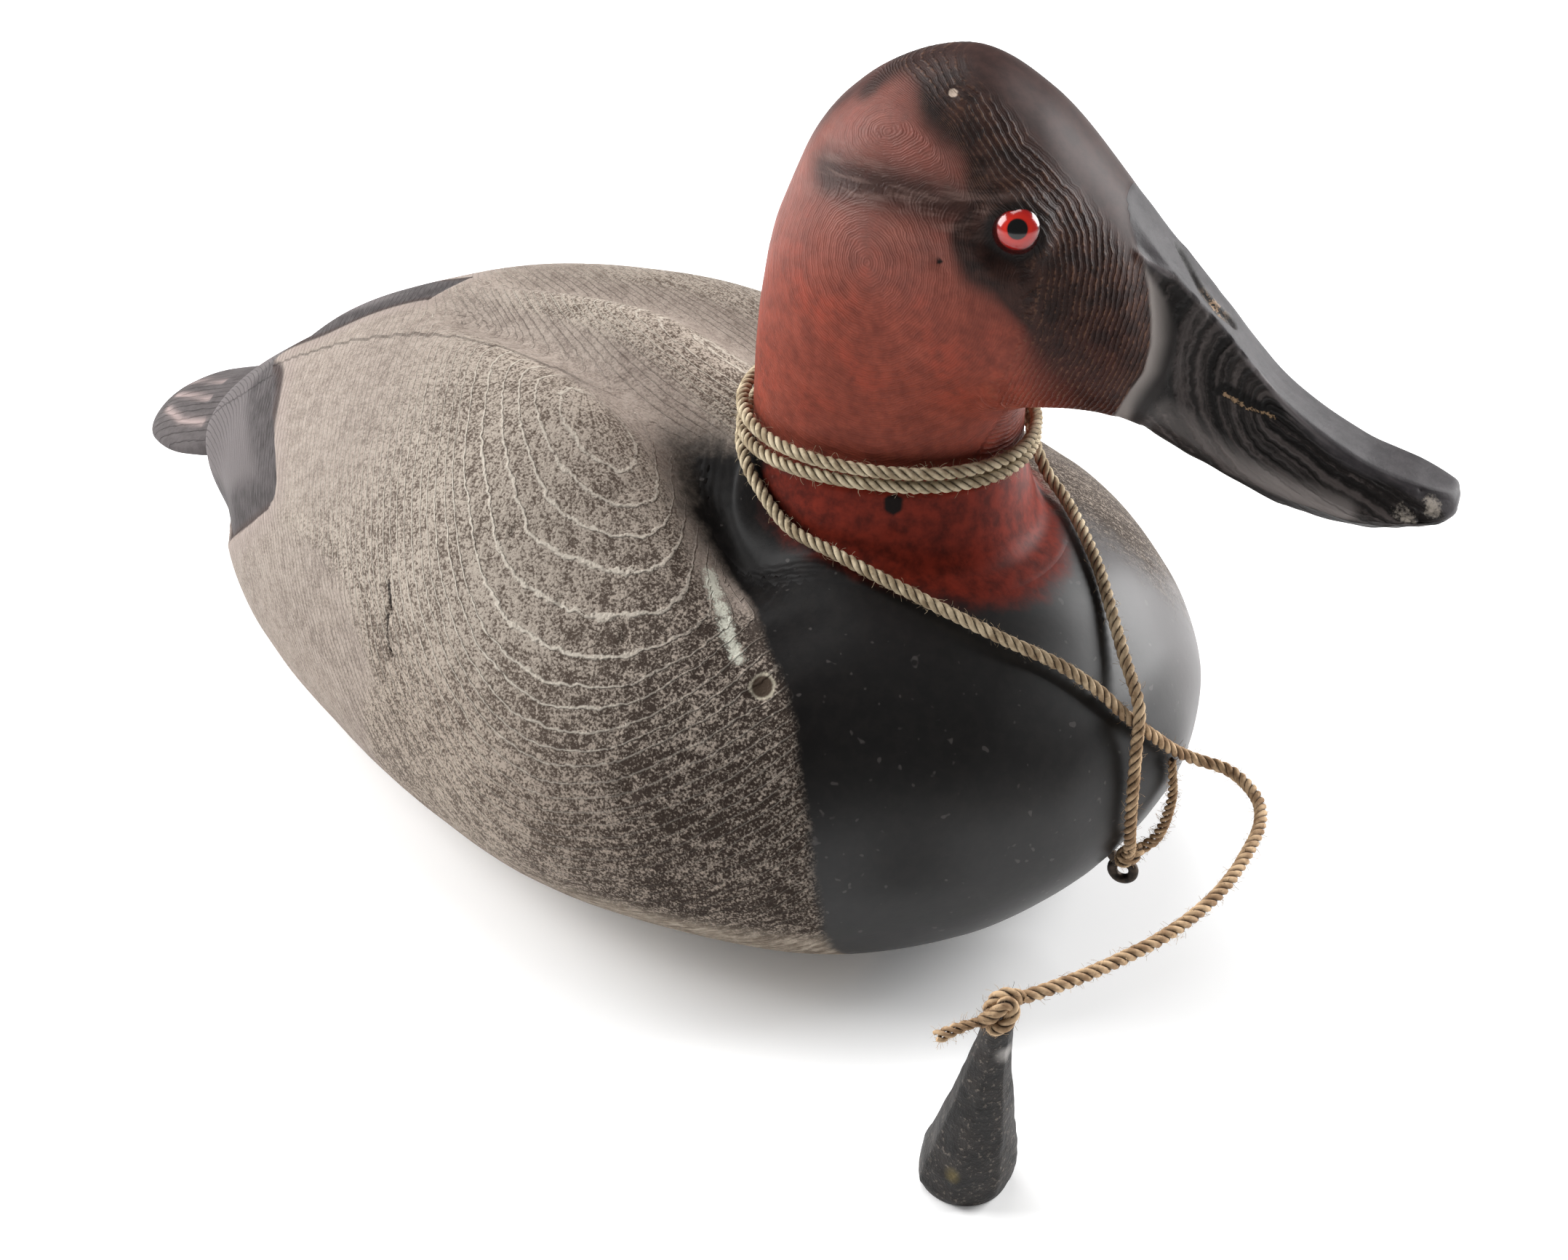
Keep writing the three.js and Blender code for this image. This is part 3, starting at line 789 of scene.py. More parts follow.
def rings_at(points):
    """Growth ring numbers at points, a little uneven."""
    return ring_count(ring_size(points) + 0.22 * lumps(points, 14.0) + 0.1 * other_lumps(points, 5.0))


def black_depth(flat):
    """How far inside the black of the breast a place on the map lies (mm)."""
    return side_of_line(flat, map_place(np.array(BLACK_EDGE_RIGHT[::-1] + BLACK_EDGE_LEFT, float)))


def smooth_depth(flat):
    """How far inside the smooth part low on the flank a place on the map lies (mm)."""
    return side_of_line(flat, map_place(np.array(SMOOTH_EDGE, float)))


def body_relief(points, flat):
    """How far the carved and worn surface stands above its plain form (mm)."""
    side = flat[..., 1]
    strength = 0.6 + 0.4 * lumps(points, 21.0)
    flank = smooth(18, 40, side) * (1 - smooth(108, 124, side)) * smooth(-20, 10, points[..., 0])
    flank *= 1 - 0.75 * smooth(36, 70, points[..., 0])
    flank *= 1 - smooth(-3, 2, black_depth(flat)) * 0.9
    flank *= 1 - smooth(-2, 4, smooth_depth(flat))
    height = 0.22 * ridge_at(rings_at(points), 0.27) * strength * flank
    height += 0.3 * lumps(points, 26.0) + 0.12 * other_lumps(points, 11.0)
    return height + carved(points, BODY_LINES, DENTS)


def red_depth(points):
    """How far inside the red round the foot of the neck a place lies, seen from above (mm)."""
    return np.where(points[..., 2] > RED_FOOT_Z, side_of_line(points[..., :2], RED_EDGE), OUT_OF_RED)


def black_softness(points):
    """Half the width over which the breast's black fades out: sharp beside the flank, soft elsewhere. In the
    valley by the neck the soft dark is partly paint and partly painted shade.
    """
    return 1.6 + 6 * (1 - smooth(28, 66, points[..., 0])) + 9 * smooth(5, 22, points[..., 1])


def body_marks(points, flat, normals):
    """What the body's paint is steered by: ring numbers and distances from edges and worn places."""
    x, y, z = points[..., 0], points[..., 1], points[..., 2]
    # Over the top of the rump the dark paint reaches farther forward.
    ridge_strip = np.exp(-((x + 104) / 13) ** 2) * smooth(86, 94, z)
    return {
        "ring": rings_at(points),
        "run": run_of_rings(flat),
        "arc": flat[..., 1],
        "past_edge": past_flank_edge(points, normals) + 5 * ridge_strip,
        "black": black_depth(flat) / black_softness(points),
        "smooth": smooth_depth(flat),
        "red": red_depth(points),
        "valley": valley_depth(x, y),
        "from_hole": away_from(points, PLUG_HOLE),
        "from_pit": away_from(points, RINGED_PIT),
        "from_crack": line_gap(points, CRACK),
        "from_worn": line_gap(points, WORN_STREAK),
    }


# The neck's own rings run out over the body as far as LAP. The body is sunk by LAP_SINK under their inner
# part, they lie LAP_LIFT above it farther out, and under the neck itself it ends at UNDER_NECK_Z.
LAP = 16
LAP_SINK = 2.5
LAP_LIFT = 0.1
UNDER_NECK_Z = 100
# The body above this height counts as its upper part.
UPPER_Z = 50
# Half the width of the step at the flank's edge, on the right side and on the left.
STEP_HALF = (0.8, 2.2)


def carved_grid():
    """The body as one closed grid, sunk a little where the neck's own rings lie on it."""
    grid = bare_body.copy()
    normals = grid_normals(grid)
    x, y = grid[..., 0], grid[..., 1]
    out = out_of_neck(x, y)
    flat = np.stack([x, bare_arcs * np.where(y <= 0, 1, -1)], -1)
    upper = grid[..., 2] > UPPER_Z
    flared = soft_max(grid[..., 2], neck_flare(out), FLARE_BLEND)
    lift = np.where(upper & (out < FLARE_END), flared - grid[..., 2], 0)
    grid[..., 2] += lift * (out > 0)
    past = past_flank_edge(bare_body, normals)
    half_step = np.where(y > 0, STEP_HALF[1], STEP_HALF[0])
    drop = FLANK_STEP * smooth(-half_step, half_step, past) * smooth(72, 80, -x)
    drop *= 1 - smooth(STEP_TOP - STEP_FADE, STEP_TOP, bare_body[..., 2])
    relief = body_relief(bare_body, flat) * smooth(0, 3, bare_body[..., 2])
    relief *= smooth(0, 6, BODY_ROWS[-1, 0] - x) * smooth(0, 6, x - BODY_ROWS[0, 0])
    relief *= np.where(upper, smooth(LAP, LAP + 12, out), 1)
    under_lap = LAP_SINK * (1 - smooth(LAP - 7, LAP - 5, out)) * upper
    marks = body_marks(bare_body, flat, normals)
    grid = grid + normals * (relief - drop)[..., None]
    height = np.where(out < 0, np.minimum(grid[..., 2], UNDER_NECK_Z), grid[..., 2])
    grid[..., 2] = np.maximum(height - under_lap, 0)
    return grid, marks


# How far out from the neck's outline each ring of its foot lies, and how many points each has.
SKIRT_OUTS = np.concatenate([[-6, -3, -1.2, -0.4], np.linspace(0, LAP, 34)])
SKIRT_SIDES = 150
# The seam under the head: how far the neck stub and the head stay off its height.
STUB_BELOW_SEAT = 0.15
HEAD_ABOVE_SEAT = 0.2


def neck_skirt():
    """The neck from its seat down to where it runs out into the back."""
    angle = np.linspace(0, TURN, SKIRT_SIDES, endpoint=False)
    rings = np.stack([round_neck(angle, out, 0.0) for out in SKIRT_OUTS])
    out = np.broadcast_to(SKIRT_OUTS[:, None], rings.shape[:2])
    plain = back_height(rings[..., 0], rings[..., 1])
    z = soft_max(plain, neck_flare(out), FLARE_BLEND)
    z = np.where(out < 0, SEAT_Z - STUB_BELOW_SEAT, np.minimum(z, SEAT_Z))
    rings[..., 2] = z + LAP_LIFT * smooth(0, 3, out) - 5 * LAP_LIFT * smooth(LAP - 4, LAP, out)
    flat = map_place(np.concatenate([rings[..., :2], np.minimum(plain, rings[..., 2])[..., None]], -1))
    normals = np.zeros_like(rings)
    normals[..., 2] = 1
    marks = body_marks(rings, flat, normals)
    relief = body_relief(rings, flat) * smooth(0, 3, out)
    rings[..., 2] += relief * (1 - smooth(3, LAP - 6, out))
    return rings, marks


# Carved lines on the tail, as seen from above.
FEATHER_LINES = [
    [(-184, -3), (-175.7, -4), (-164.6, -5.5)], [(-184, -9), (-176.8, -11), (-162.5, -13.8)],
    [(-182, -15), (-177.5, -17.1), (-169, -20.5), (-157, -21.8)],
]
TAIL_STATIONS = 76
TAIL_RUN = 84
# The marks that are the same all over the tail.
TAIL_MARKS = {
    "past_edge": 13.0, "black": -60.0, "red": -60.0, "smooth": -60.0,
    "from_hole": 60.0, "from_pit": 60.0, "from_crack": 60.0, "from_worn": 60.0,
}


def tail_grid():
    """The tail paddle, with three carved feather lines on top."""
    row = rows_at(TAIL_ROWS, np.linspace(0, len(TAIL_ROWS) - 1, TAIL_STATIONS))
    angle = np.linspace(0, TURN, TAIL_RUN, endpoint=False)
    x, half, middle, thick = (row[:, k:k + 1] for k in range(4))
    y = half * signed_power(np.cos(angle), 2 / TAIL_SQUARENESS)
    rise = thick / 2 * signed_power(np.sin(angle), 2 / TAIL_SQUARENESS)
    crown = TAIL_CROWN * (half / TAIL_ROWS[0, 1]) ** 1.5 * (1 - (y / half) ** 2)
    x = np.broadcast_to(x, y.shape)
    grid = np.stack([x, y, middle + crown + rise], -1)
    on_top = smooth(0, 0.5, rise)
    flat = np.stack([x, y], -1)
    groove = along_lines(flat, FEATHER_LINES, 0.9)
    relief = 0.12 * lumps(grid, 8.0) + 0.06 * other_lumps(grid, 3.5) - 0.6 * groove * on_top
    grid[..., 2] += relief * smooth(0, 5, x - TAIL_ROWS[-1, 0]) * np.where(rise > 0, 1, -1)
    return grid, groove * on_top


def joined(shells):
    """Several closed shells as one: their points, faces and marks one after another."""
    points, faces, marks = [], [], {}
    total = 0
    names = dict.fromkeys(name for shell in shells for name in shell[2])
    for shell_points, shell_faces, shell_marks in shells:
        out = turned_out(shell_points, shell_faces)
        faces += [[total + i for i in face] for face in out]
        points.append(shell_points)
        for name in names:
            value = shell_marks.get(name, np.zeros(len(shell_points)))
            marks.setdefault(name, []).append(value)
        total += len(shell_points)
    return np.vstack(points), faces, {name: np.concatenate(values) for name, values in marks.items()}


def with_end_marks(marks):
    """Marks of a grid, with those of the two points that close it."""
    return {name: np.concatenate([v.ravel(), [v[0].mean(), v[-1].mean()]]) for name, v in marks.items()}


# The rim of the neck's foot is closed by a copy of itself at this share of its size, this much lower.
UNDER_RIM_SHARE = 0.9
UNDER_RIM_DEPTH = 8


def closed_skirt(rings, marks):
    middle = np.array((NECK_X, 0, 0)) * (1 - UNDER_RIM_SHARE)
    under = rings[-1] * (UNDER_RIM_SHARE, UNDER_RIM_SHARE, 1) + middle - (0, 0, UNDER_RIM_DEPTH)
    grid = np.concatenate([rings, under[None]])
    points, faces = closed_loft(grid)
    return points, faces, with_end_marks({k: np.concatenate([v, v[-1:]]) for k, v in marks.items()})


def carve_body(material):
    grid, marks = carved_grid()
    tail, groove = tail_grid()
    tail_marks = {name: np.full(groove.shape, value) for name, value in TAIL_MARKS.items()}
    tail_marks.update({"groove": groove, "ring": tail[..., 1] / 2, "run": tail[..., 0]})
    points, faces, marks = joined([
        (*closed_loft(grid), with_end_marks(marks)),
        closed_skirt(*neck_skirt()),
        (*closed_loft(tail), with_end_marks(tail_marks)),
    ])
    piece = make_piece("carved_body", points, faces, material, marks)
    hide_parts("body")


# Half the bill's section from the top round to the bottom: share of the half turn, height and width.
BILL_SECTION = np.array([
    (0, 1, 0), (0.09, 0.985, 0.3), (0.125, 0.95, 0.44), (0.16, 0.87, 0.5), (0.3, 0.55, 0.6),
    (0.45, 0.1, 0.84), (0.54, -0.2, 0.98), (0.6, -0.4, 1.0), (0.7, -0.66, 0.93), (0.83, -0.9, 0.68),
    (0.9, -0.97, 0.5), (1, -1, 0),
])
# How many rings the head has from the neck to the bill's tip, and how many points each has.
HEAD_STATIONS = 340
HEAD_RUN = 156
# Worn, cut and chipped places on the head and bill, in the neck's own frame.
SLIT = [(75.2, 12.6, 145.2), (80.7, 11.3, 141.8), (86.6, 9.5, 139.7)]
GOUGE = [(60.9, 2.4, 172.2), (66.9, -2.9, 165.8), (71.1, -3.2, 161.5), (74.4, -1.5, 158.2)]
BARE_WOOD = (70.6, -3.2, 162.2)
NAIL_SPLIT = [(120.6, -7.3, 126.5), (121.6, -11.2, 124.5), (121.8, -12.8, 121.2)]
NAIL_WEAR = [[(116.7, -13, 124.7), (118.9, -13.6, 122.8)], [(123.7, -9, 124.7), (124.2, -9.5, 123.6)]]
CROWN_CHIP = (12.1, -14.2, 208.4)
CHEEK_PIT = (14.1, -30, 177.3)
# The middles that the head's growth rings loop round, and the pitches of the loops and of the face's ridges.
CHEEK_MIDDLE = (-2, 28.7, 174)
CROWN_MIDDLE = (0, 18.6, 200)
LOOP_PITCH = 1.7
RIDGE_PITCH = 1.15
# Lines on the head as seen from its side (x and z), except for the ridge along each side of the bill's top.
# Growth rings run down the face between the first two.
FACE_INNER = np.array([
    (-6, 214), (7.2, 210.7), (15.3, 205.9), (20, 200.5), (24.3, 195.5), (29.7, 191.5), (35.1, 186.3),
    (38.2, 180.8), (39.5, 175.1), (39.4, 167.2), (37.9, 160.7), (35.2, 153.4), (30, 142),
])
FACE_OUTER = np.array([
    (0, 216), (12.1, 212), (24.2, 204.1), (33.3, 195.5), (42, 186.8), (48.5, 179.5), (52.7, 172.7),
    (54.7, 166), (54.6, 159.3), (53, 153.4), (50.3, 147.9), (46, 138),
])
DARK_EDGE = np.array([
    (-12, 209), (4.9, 208.4), (12.3, 205.7), (17.6, 200.4), (19.6, 195.5), (21.5, 188.4), (19.1, 183.5),
    (22.8, 176.9), (27.3, 171), (33.7, 165), (38, 158.3), (42.1, 147.9), (44, 138),
])
DARK_BAND = [(-14.1, 189.4), (0.4, 190.4), (11.2, 189.2), (21.5, 188.4)]
BILL_EDGE = np.array([
    (51, 182), (53.6, 176.5), (55.3, 173.2), (56.9, 168.4), (58.2, 162.5), (58.9, 157.3), (58.3, 152),
    (56.1, 148.3), (54.6, 145), (52, 138), (48, 130),
])
WEDGE_EDGE = np.array([
    (53, 180), (56.2, 172.2), (60.9, 165.8), (64, 159), (64.4, 153.9), (63.3, 148.5), (62, 144.6), (58, 136),
])
BILL_RIDGE = [
    (53.5, 11.8, 176), (61.4, 7.5, 169.5), (68.3, 6.7, 162), (75.4, 6.2, 154.6), (82.9, 6, 147.7),
    (89, 6.5, 141.8), (96.8, 7.5, 136.2), (104.2, 8.2, 132.2), (113.7, 8, 128.7), (119.4, 8.6, 126.5),
]
BILL_MIDLINE = np.array([(56, 160), (75, 148), (86, 140.5), (100, 132), (124, 122)])
PALE_BAND = np.array([(64, 141), (71.4, 134.8), (81.3, 128), (92.9, 124), (104.3, 121.5)])
BILL_RIM = np.array([(56, 137), (65.1, 131), (76.8, 124.8), (91.3, 120.2), (104.6, 118.6), (114, 118)])
# How far apart the rings on the bill's side are where they are smallest.
ARC_PITCH = 2.1
# Carved and worn lines of the head, alike on both sides or on one only: their points, reach and height.
SLIT_RIM = np.array(SLIT) + (0.6, 0, -1.9)
LINES_OF_BOTH_SIDES = (
    (BILL_RIDGE[:3], 1.2, 0.5), (BILL_RIDGE, 0.9, 0.25), (SLIT, 0.85, -1.6), (SLIT_RIM, 0.8, 0.35),
)
LINES_OF_ONE_SIDE = ((NAIL_SPLIT, 0.5, -0.7), (GOUGE, 1.1, -1.1))
# Dents in the head: place, reach and depth.
HEAD_DENTS = ((CHEEK_PIT, 1.1, 0.7), (CROWN_CHIP, 1.2, 0.4))


def head_grid():
    """Rings of the head and bill in the neck's own frame, their points closer together on the right."""
    place = np.linspace(0, len(HEAD_ROWS) - 1, FINE_STEPS)
    table = rows_at(HEAD_ROWS, place)
    middle = (table[:, 0:2] + table[:, 2:4]) / 2
    spread = np.linalg.norm(np.diff(middle, axis=0), axis=1) + 0.25 * np.abs(np.diff(table[:, 4]))
    spread += 0.3 * np.linalg.norm(np.diff(table[:, 0:2], axis=0), axis=1)
    station = np.interp(spaced(spread, HEAD_STATIONS), np.arange(FINE_STEPS), place)
    row = rows_at(HEAD_ROWS, station)
    turn = np.linspace(0, TURN, FINE_TURN)
    weight = np.where(np.sin(turn[:-1]) < 0, 1.4, 1.0)
    angle = np.interp(spaced(weight, HEAD_RUN + 1), np.arange(FINE_TURN), turn)[:-1]
    back_x, back_z, front_x, front_z, half, taper = (row[:, k:k + 1] for k in range(6))
    along = signed_power(np.cos(angle), 2 / HEAD_SQUARENESS)
    across = signed_power(np.sin(angle), 2 / HEAD_SQUARENESS) * (1 - taper * along)
    share = np.abs(np.where(angle > math.pi, TURN - angle, angle)) / math.pi
    bill_along = np.interp(share, BILL_SECTION[:, 0], BILL_SECTION[:, 1])
    bill_across = np.interp(share, BILL_SECTION[:, 0], BILL_SECTION[:, 2]) * np.sign(np.sin(angle))
    bill = (smooth(7.1, 8.2, station) * (1 - smooth(12.3, 13.4, station)))[:, None]
    along = along * (1 - bill) + bill_along * bill
    across = across * (1 - bill) + bill_across * bill
    x = front_x + (back_x - front_x) * (1 + along) / 2
    z = front_z + (back_z - front_z) * (1 + along) / 2
    return np.stack([x, half * across, z], -1), station


def mirrored(points):
    """Points of either side of the head brought to its left side."""
    return np.stack([points[..., 0], np.abs(points[..., 1]), points[..., 2]], -1)


def loops_at(side):
    """Growth rings of the head: loops round cheek and crown on each side, then ridges down the face."""
    cheek = np.linalg.norm((side - CHEEK_MIDDLE) * (1.05, 0.8, 0.95), axis=-1)
    crown = np.linalg.norm((side - CROWN_MIDDLE) * (0.62, 1.1, 1.2), axis=-1) + 1.5
    bends = 0.9 * lumps(side, 13.0) + 0.4 * other_lumps(side, 6.0)
    loops = (bends - soft_max(-cheek, -crown, 7.0)) / LOOP_PITCH
    ahead = side_of_line(side[..., [0, 2]], FACE_INNER)
    ridges = 24 + (ahead + 0.5 * lumps(side, 12.0) + 0.25 * other_lumps(side, 4.0)) / RIDGE_PITCH
    on_face = smooth(-9, -2, ahead)
    return loops * (1 - on_face) + ridges * on_face, on_face


def arcs_on_bill(side):
    """Growth rings on the bill's side: arcs behind the nostril that run out straight toward the tip."""
    height = side[..., 2] - np.interp(side[..., 0], BILL_MIDLINE[:, 0], BILL_MIDLINE[:, 1])
    behind = np.maximum(86 - side[..., 0], 0)
    size = np.hypot(height, behind * 1.05) + 0.5 * lumps(side, 9.0)
    return size / (ARC_PITCH + 0.055 * np.maximum(size, 0))


def off_ridge(side):
    """How far out to the side of the bill's ridge a place lies (mm)."""
    ridge = np.array(BILL_RIDGE, float)
    return side[..., 1] - np.interp(side[..., 0], ridge[:, 0], ridge[:, 1])


def head_marks(points):
    """What the head's paint is steered by: ring numbers and distances from edges and worn places."""
    side = mirrored(points)
    across = side[..., [0, 2]]
    x, y, z = side[..., 0], side[..., 1], side[..., 2]
    loops, on_face = loops_at(side)
    blur = 5 + 7 * (1 - smooth(150, 175, z))
    dark = smooth(-1, 1, (side_of_line(across, DARK_EDGE) + 2.5 + 4 * lumps(side, 9.0)) / blur)
    band = along_lines(across, [DARK_BAND], 7)
    forehead = smooth(-1.5, 2.5, side_of_line(across, FACE_OUTER)) * smooth(170, 180, z)
    slit = np.array(SLIT)
    return {
        "loops": loops,
        "on_face": on_face * (1 - forehead),
        "dark": np.maximum(dark, 0.72 * band),
        "band": band,
        "low_face": (1 - smooth(150, 174, z)) * (1 - smooth(50, 58, x)),
        "forehead": forehead,
        "upper": smooth(160, 186, z),
        "ridge_top": (1 - smooth(4, 13, y)) * smooth(185, 198, z),
        "from_pit": away_from(points, CHEEK_PIT),
        "from_eye": np.hypot(x - EYE_PLACE[0], z - EYE_PLACE[2]),
        "bill": side_of_line(across, BILL_EDGE),
        "wedge": side_of_line(across, WEDGE_EDGE),
        "arcs": arcs_on_bill(side),
        "off_top": off_ridge(side),
        "from_ridge": line_gap(side, BILL_RIDGE),
        "pale_band": line_gap(across, PALE_BAND),
        "above_rim": side_of_line(across, BILL_RIM),
        "from_slit": line_gap(across, slit[:, [0, 2]]) + 4 * (y < 4),
        "below_slit": np.interp(x, slit[:, 0], slit[:, 2]) - z,
        "from_gouge": line_gap(points, GOUGE),
        "bare_wood": np.exp(-(away_from(points, BARE_WOOD) / 3.2) ** 2),
        "along_bill": x,
        "from_wear": np.minimum(*[line_gap(points, line) for line in NAIL_WEAR]),
        "from_chip": away_from(points, CROWN_CHIP),
    }


def head_relief(points):
    """How far the head's surface stands above its plain form (mm)."""
    side = mirrored(points)
    across = side[..., [0, 2]]
    loops, on_face = loops_at(side)
    forehead = smooth(-1.5, 2.5, side_of_line(across, FACE_OUTER))
    ahead = side_of_line(across, BILL_EDGE)
    on_bill = smooth(-0.6, 0.9, ahead)
    height = 0.3 * lumps(side, 17.0) * (1 - on_bill) + 0.1 * other_lumps(side, 7.0)
    strength = (0.05 + 0.06 * on_face) * (1 - forehead) * (1 - on_bill)
    height += ridge_at(loops, 0.28) * strength * smooth(3, 8, side[..., 1])
    past_wedge = side_of_line(across, WEDGE_EDGE)
    on_side = smooth(0.3, 1.2, off_ridge(side))
    height += 0.2 * ridge_at(arcs_on_bill(side), 0.3) * smooth(0, 2, past_wedge) * on_side
    height -= 0.8 * along_lines(across, [DARK_BAND], 4.5) * smooth(6, 16, side[..., 1])
    wedge = smooth(-0.4, 0.6, ahead) * (1 - smooth(-0.5, 3, past_wedge))
    height += (0.7 * wedge - 0.9 * on_bill) * smooth(8, 13, side[..., 1])
    return height + carved(side, LINES_OF_BOTH_SIDES) + carved(points, LINES_OF_ONE_SIDE, HEAD_DENTS)


def round_eyes(points):
    """Flattens the head's sides round the eyes, so that a set size of each eye shows."""
    side = np.abs(points[..., 1])
    gap = np.hypot(points[..., 0] - EYE_PLACE[0], points[..., 2] - EYE_PLACE[2])
    flattened = EYE_PLACE[1] + EYE_SHOWS + 0.9 * smooth(5.2, 8.5, gap)
    share = (1 - smooth(6.4, 9.5, gap)) * (side > 12)
    return np.sign(points[..., 1]) * (side * (1 - share) + np.minimum(flattened, side + 2) * share)


def carve_head(material):
    plain, station = head_grid()
    relief = head_relief(plain)
    fade = smooth(0, 0.5, station)[:, None] * (1 - smooth(13.4, 14, station))[:, None]
    grid = plain + grid_normals(plain) * (relief * fade)[..., None]
    grid[..., 1] = round_eyes(grid)
    grid[..., 2] = np.maximum(grid[..., 2], np.minimum(plain[..., 2], SEAT_Z + HEAD_ABOVE_SEAT))
    points, faces = closed_loft(grid)
    marks = with_end_marks(head_marks(plain))
    piece = make_piece("carved_head", on_neck(points), faces, material, marks)
    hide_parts("head")


def ball(centre, radius, rings=32, sides=48):
    """A closed ball whose poles point sideways."""
    tilt = np.linspace(0.02, math.pi - 0.02, rings)[:, None]
    angle = np.linspace(0, TURN, sides, endpoint=False)
    x = radius * np.sin(tilt) * np.cos(angle)
    z = radius * np.sin(tilt) * np.sin(angle)
    y = radius * np.cos(tilt) * np.ones(sides)
    return np.stack([x, y, z], -1) + centre


def set_eyes(material):
    for name, side in (("eye_right", -1), ("eye_left", 1)):
        centre = np.array((EYE_PLACE[0], side * EYE_PLACE[1], EYE_PLACE[2]))
        grid = ball(centre, EYE_RADIUS - EYE_CLEARANCE)
        axis = EYE_AXIS * (1, side, 1)
        gap = np.linalg.norm(np.cross(grid - centre, axis), axis=-1) / np.linalg.norm(axis)
        points, faces = closed_loft(grid)
        marks = with_end_marks({"from_axis": gap})
        piece = make_piece("glass_" + name, on_neck(points), faces, material, marks)
        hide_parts(name)


def screwed(points):
    """Points of the upright ring and its shank, turned as they sit in the breast."""
    lean = np.array([
        (math.cos(SHANK_LEAN), 0, math.sin(SHANK_LEAN)),
        (0, 1, 0),
        (-math.sin(SHANK_LEAN), 0, math.cos(SHANK_LEAN)),
    ])
    turn = np.array([
        (math.cos(RING_TURN), -math.sin(RING_TURN), 0),
        (math.sin(RING_TURN), math.cos(RING_TURN), 0),
        (0, 0, 1),
    ])
    upright = np.stack([points[..., 0], -points[..., 2], points[..., 1]], -1)
    return upright @ lean.T @ turn.T + RING_CENTRE


def make_screw_eye(material):
    around = np.linspace(0, TURN, RING_SIDES, endpoint=False)[:, None]
    section = np.linspace(0, TURN, WIRE_SIDES, endpoint=False)
    wide = RING_RADIUS + WIRE_RADIUS * np.cos(section)
    up = WIRE_RADIUS * np.sin(section) + 0 * around
    torus = np.stack([wide * np.cos(around), wide * np.sin(around), up], -1)
    total = RING_SIDES * WIRE_SIDES
    faces = [[(a + WIRE_SIDES) % total, (b + WIRE_SIDES) % total, b, a]
             for a, b, _, _ in ring_faces(RING_SIDES + 1, WIRE_SIDES)]
    ring = (screwed(torus).reshape(-1, 3) + 0.05 * lumps(torus, 1.4).reshape(-1, 1), faces, {})
    start = RING_RADIUS + WIRE_RADIUS * 0.4
    height = np.linspace(start, start + SHANK_LENGTH, SHANK_STATIONS)[:, None]
    x, z = SHANK_RADIUS * np.cos(section), SHANK_RADIUS * np.sin(section)
    rod = np.stack(np.broadcast_arrays(x, height, z), -1)
    points, faces, _ = joined([ring, (*closed_loft(screwed(rod)), {})])
    piece = make_piece("ring_and_shank", points, faces, material)
    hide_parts("screw_eye")


# The cone was cast in a roughly cut mould, which left this many flats round it.
WEIGHT_FLATS = 7
WEIGHT_FLATS_TURN = 0.35
WEIGHT_STATIONS = 90
WEIGHT_RUN = 96


def cast_weight(material):
    height = np.linspace(0, 1, WEIGHT_STATIONS)
    radius = np.interp(height, WEIGHT_PROFILE[:, 0], WEIGHT_PROFILE[:, 1])[:, None]
    angle = np.linspace(0, TURN, WEIGHT_RUN, endpoint=False)
    x = WEIGHT_PLACE[0] + WEIGHT_TOP_SHIFT[0] * height[:, None] + radius * np.cos(angle)
    y = WEIGHT_PLACE[1] + WEIGHT_TOP_SHIFT[1] * height[:, None] + radius * np.sin(angle)
    grid = np.stack([x, y, WEIGHT_HEIGHT * height[:, None] + 0 * angle], -1)
    flat_side = (angle + WEIGHT_FLATS_TURN) % (TURN / WEIGHT_FLATS) - math.pi / WEIGHT_FLATS
    flats = radius * (math.cos(math.pi / WEIGHT_FLATS) / np.cos(flat_side) - 1) * 0.6
    relief = 0.3 * lumps(grid, 7.0) + 0.16 * other_lumps(grid, 2.6)
    relief = (relief + flats * smooth(1, 6, WEIGHT_HEIGHT - grid[..., 2])) * smooth(0, 2, grid[..., 2])
    grid = grid + grid_normals(grid) * (relief - 0.3)[..., None]
    grid[..., 2] = np.clip(grid[..., 2], 0, WEIGHT_HEIGHT)
    points, faces = closed_loft(grid)
    piece = make_piece("cast_weight", points, faces, material)
    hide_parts("anchor_weight")
    return piece


class Shaping(Graph):
    """A Geometry Nodes tree whose inputs are named and whose last node is joined to its output."""

    def __init__(self, name, inputs):
        tree = bpy.data.node_groups.new(name, "GeometryNodeTree")
        super().__init__(tree)
        tree.interface.new_socket("Geometry", in_out="INPUT", socket_type="NodeSocketGeometry")
        tree.interface.new_socket("Geometry", in_out="OUTPUT", socket_type="NodeSocketGeometry")
        self.keys = {}
        for label, kind in inputs.items():
            socket = tree.interface.new_socket(label, in_out="INPUT", socket_type=kind)
            self.keys[label] = socket.identifier
        self.entry = tree.nodes.new("NodeGroupInput")
        self.exit = tree.nodes.new("NodeGroupOutput")

    def given(self, label):
        return Signal(self, self.entry.outputs[label])

    def stored(self, geometry, name, value, kind="FLOAT"):
        inputs = {"Geometry": geometry, "Name": name, "Value": value}
        return self.node("GeometryNodeStoreNamedAttribute", {"data_type": kind, "domain": "POINT"}, inputs)

    def finish(self, geometry, material):
        whole = self.node("GeometryNodeRealizeInstances", {}, {"Geometry": geometry})
        coloured = self.node("GeometryNodeSetMaterial", {}, {"Geometry": whole, "Material": material})
        self.feed(self.exit.inputs[0], coloured)
        return self


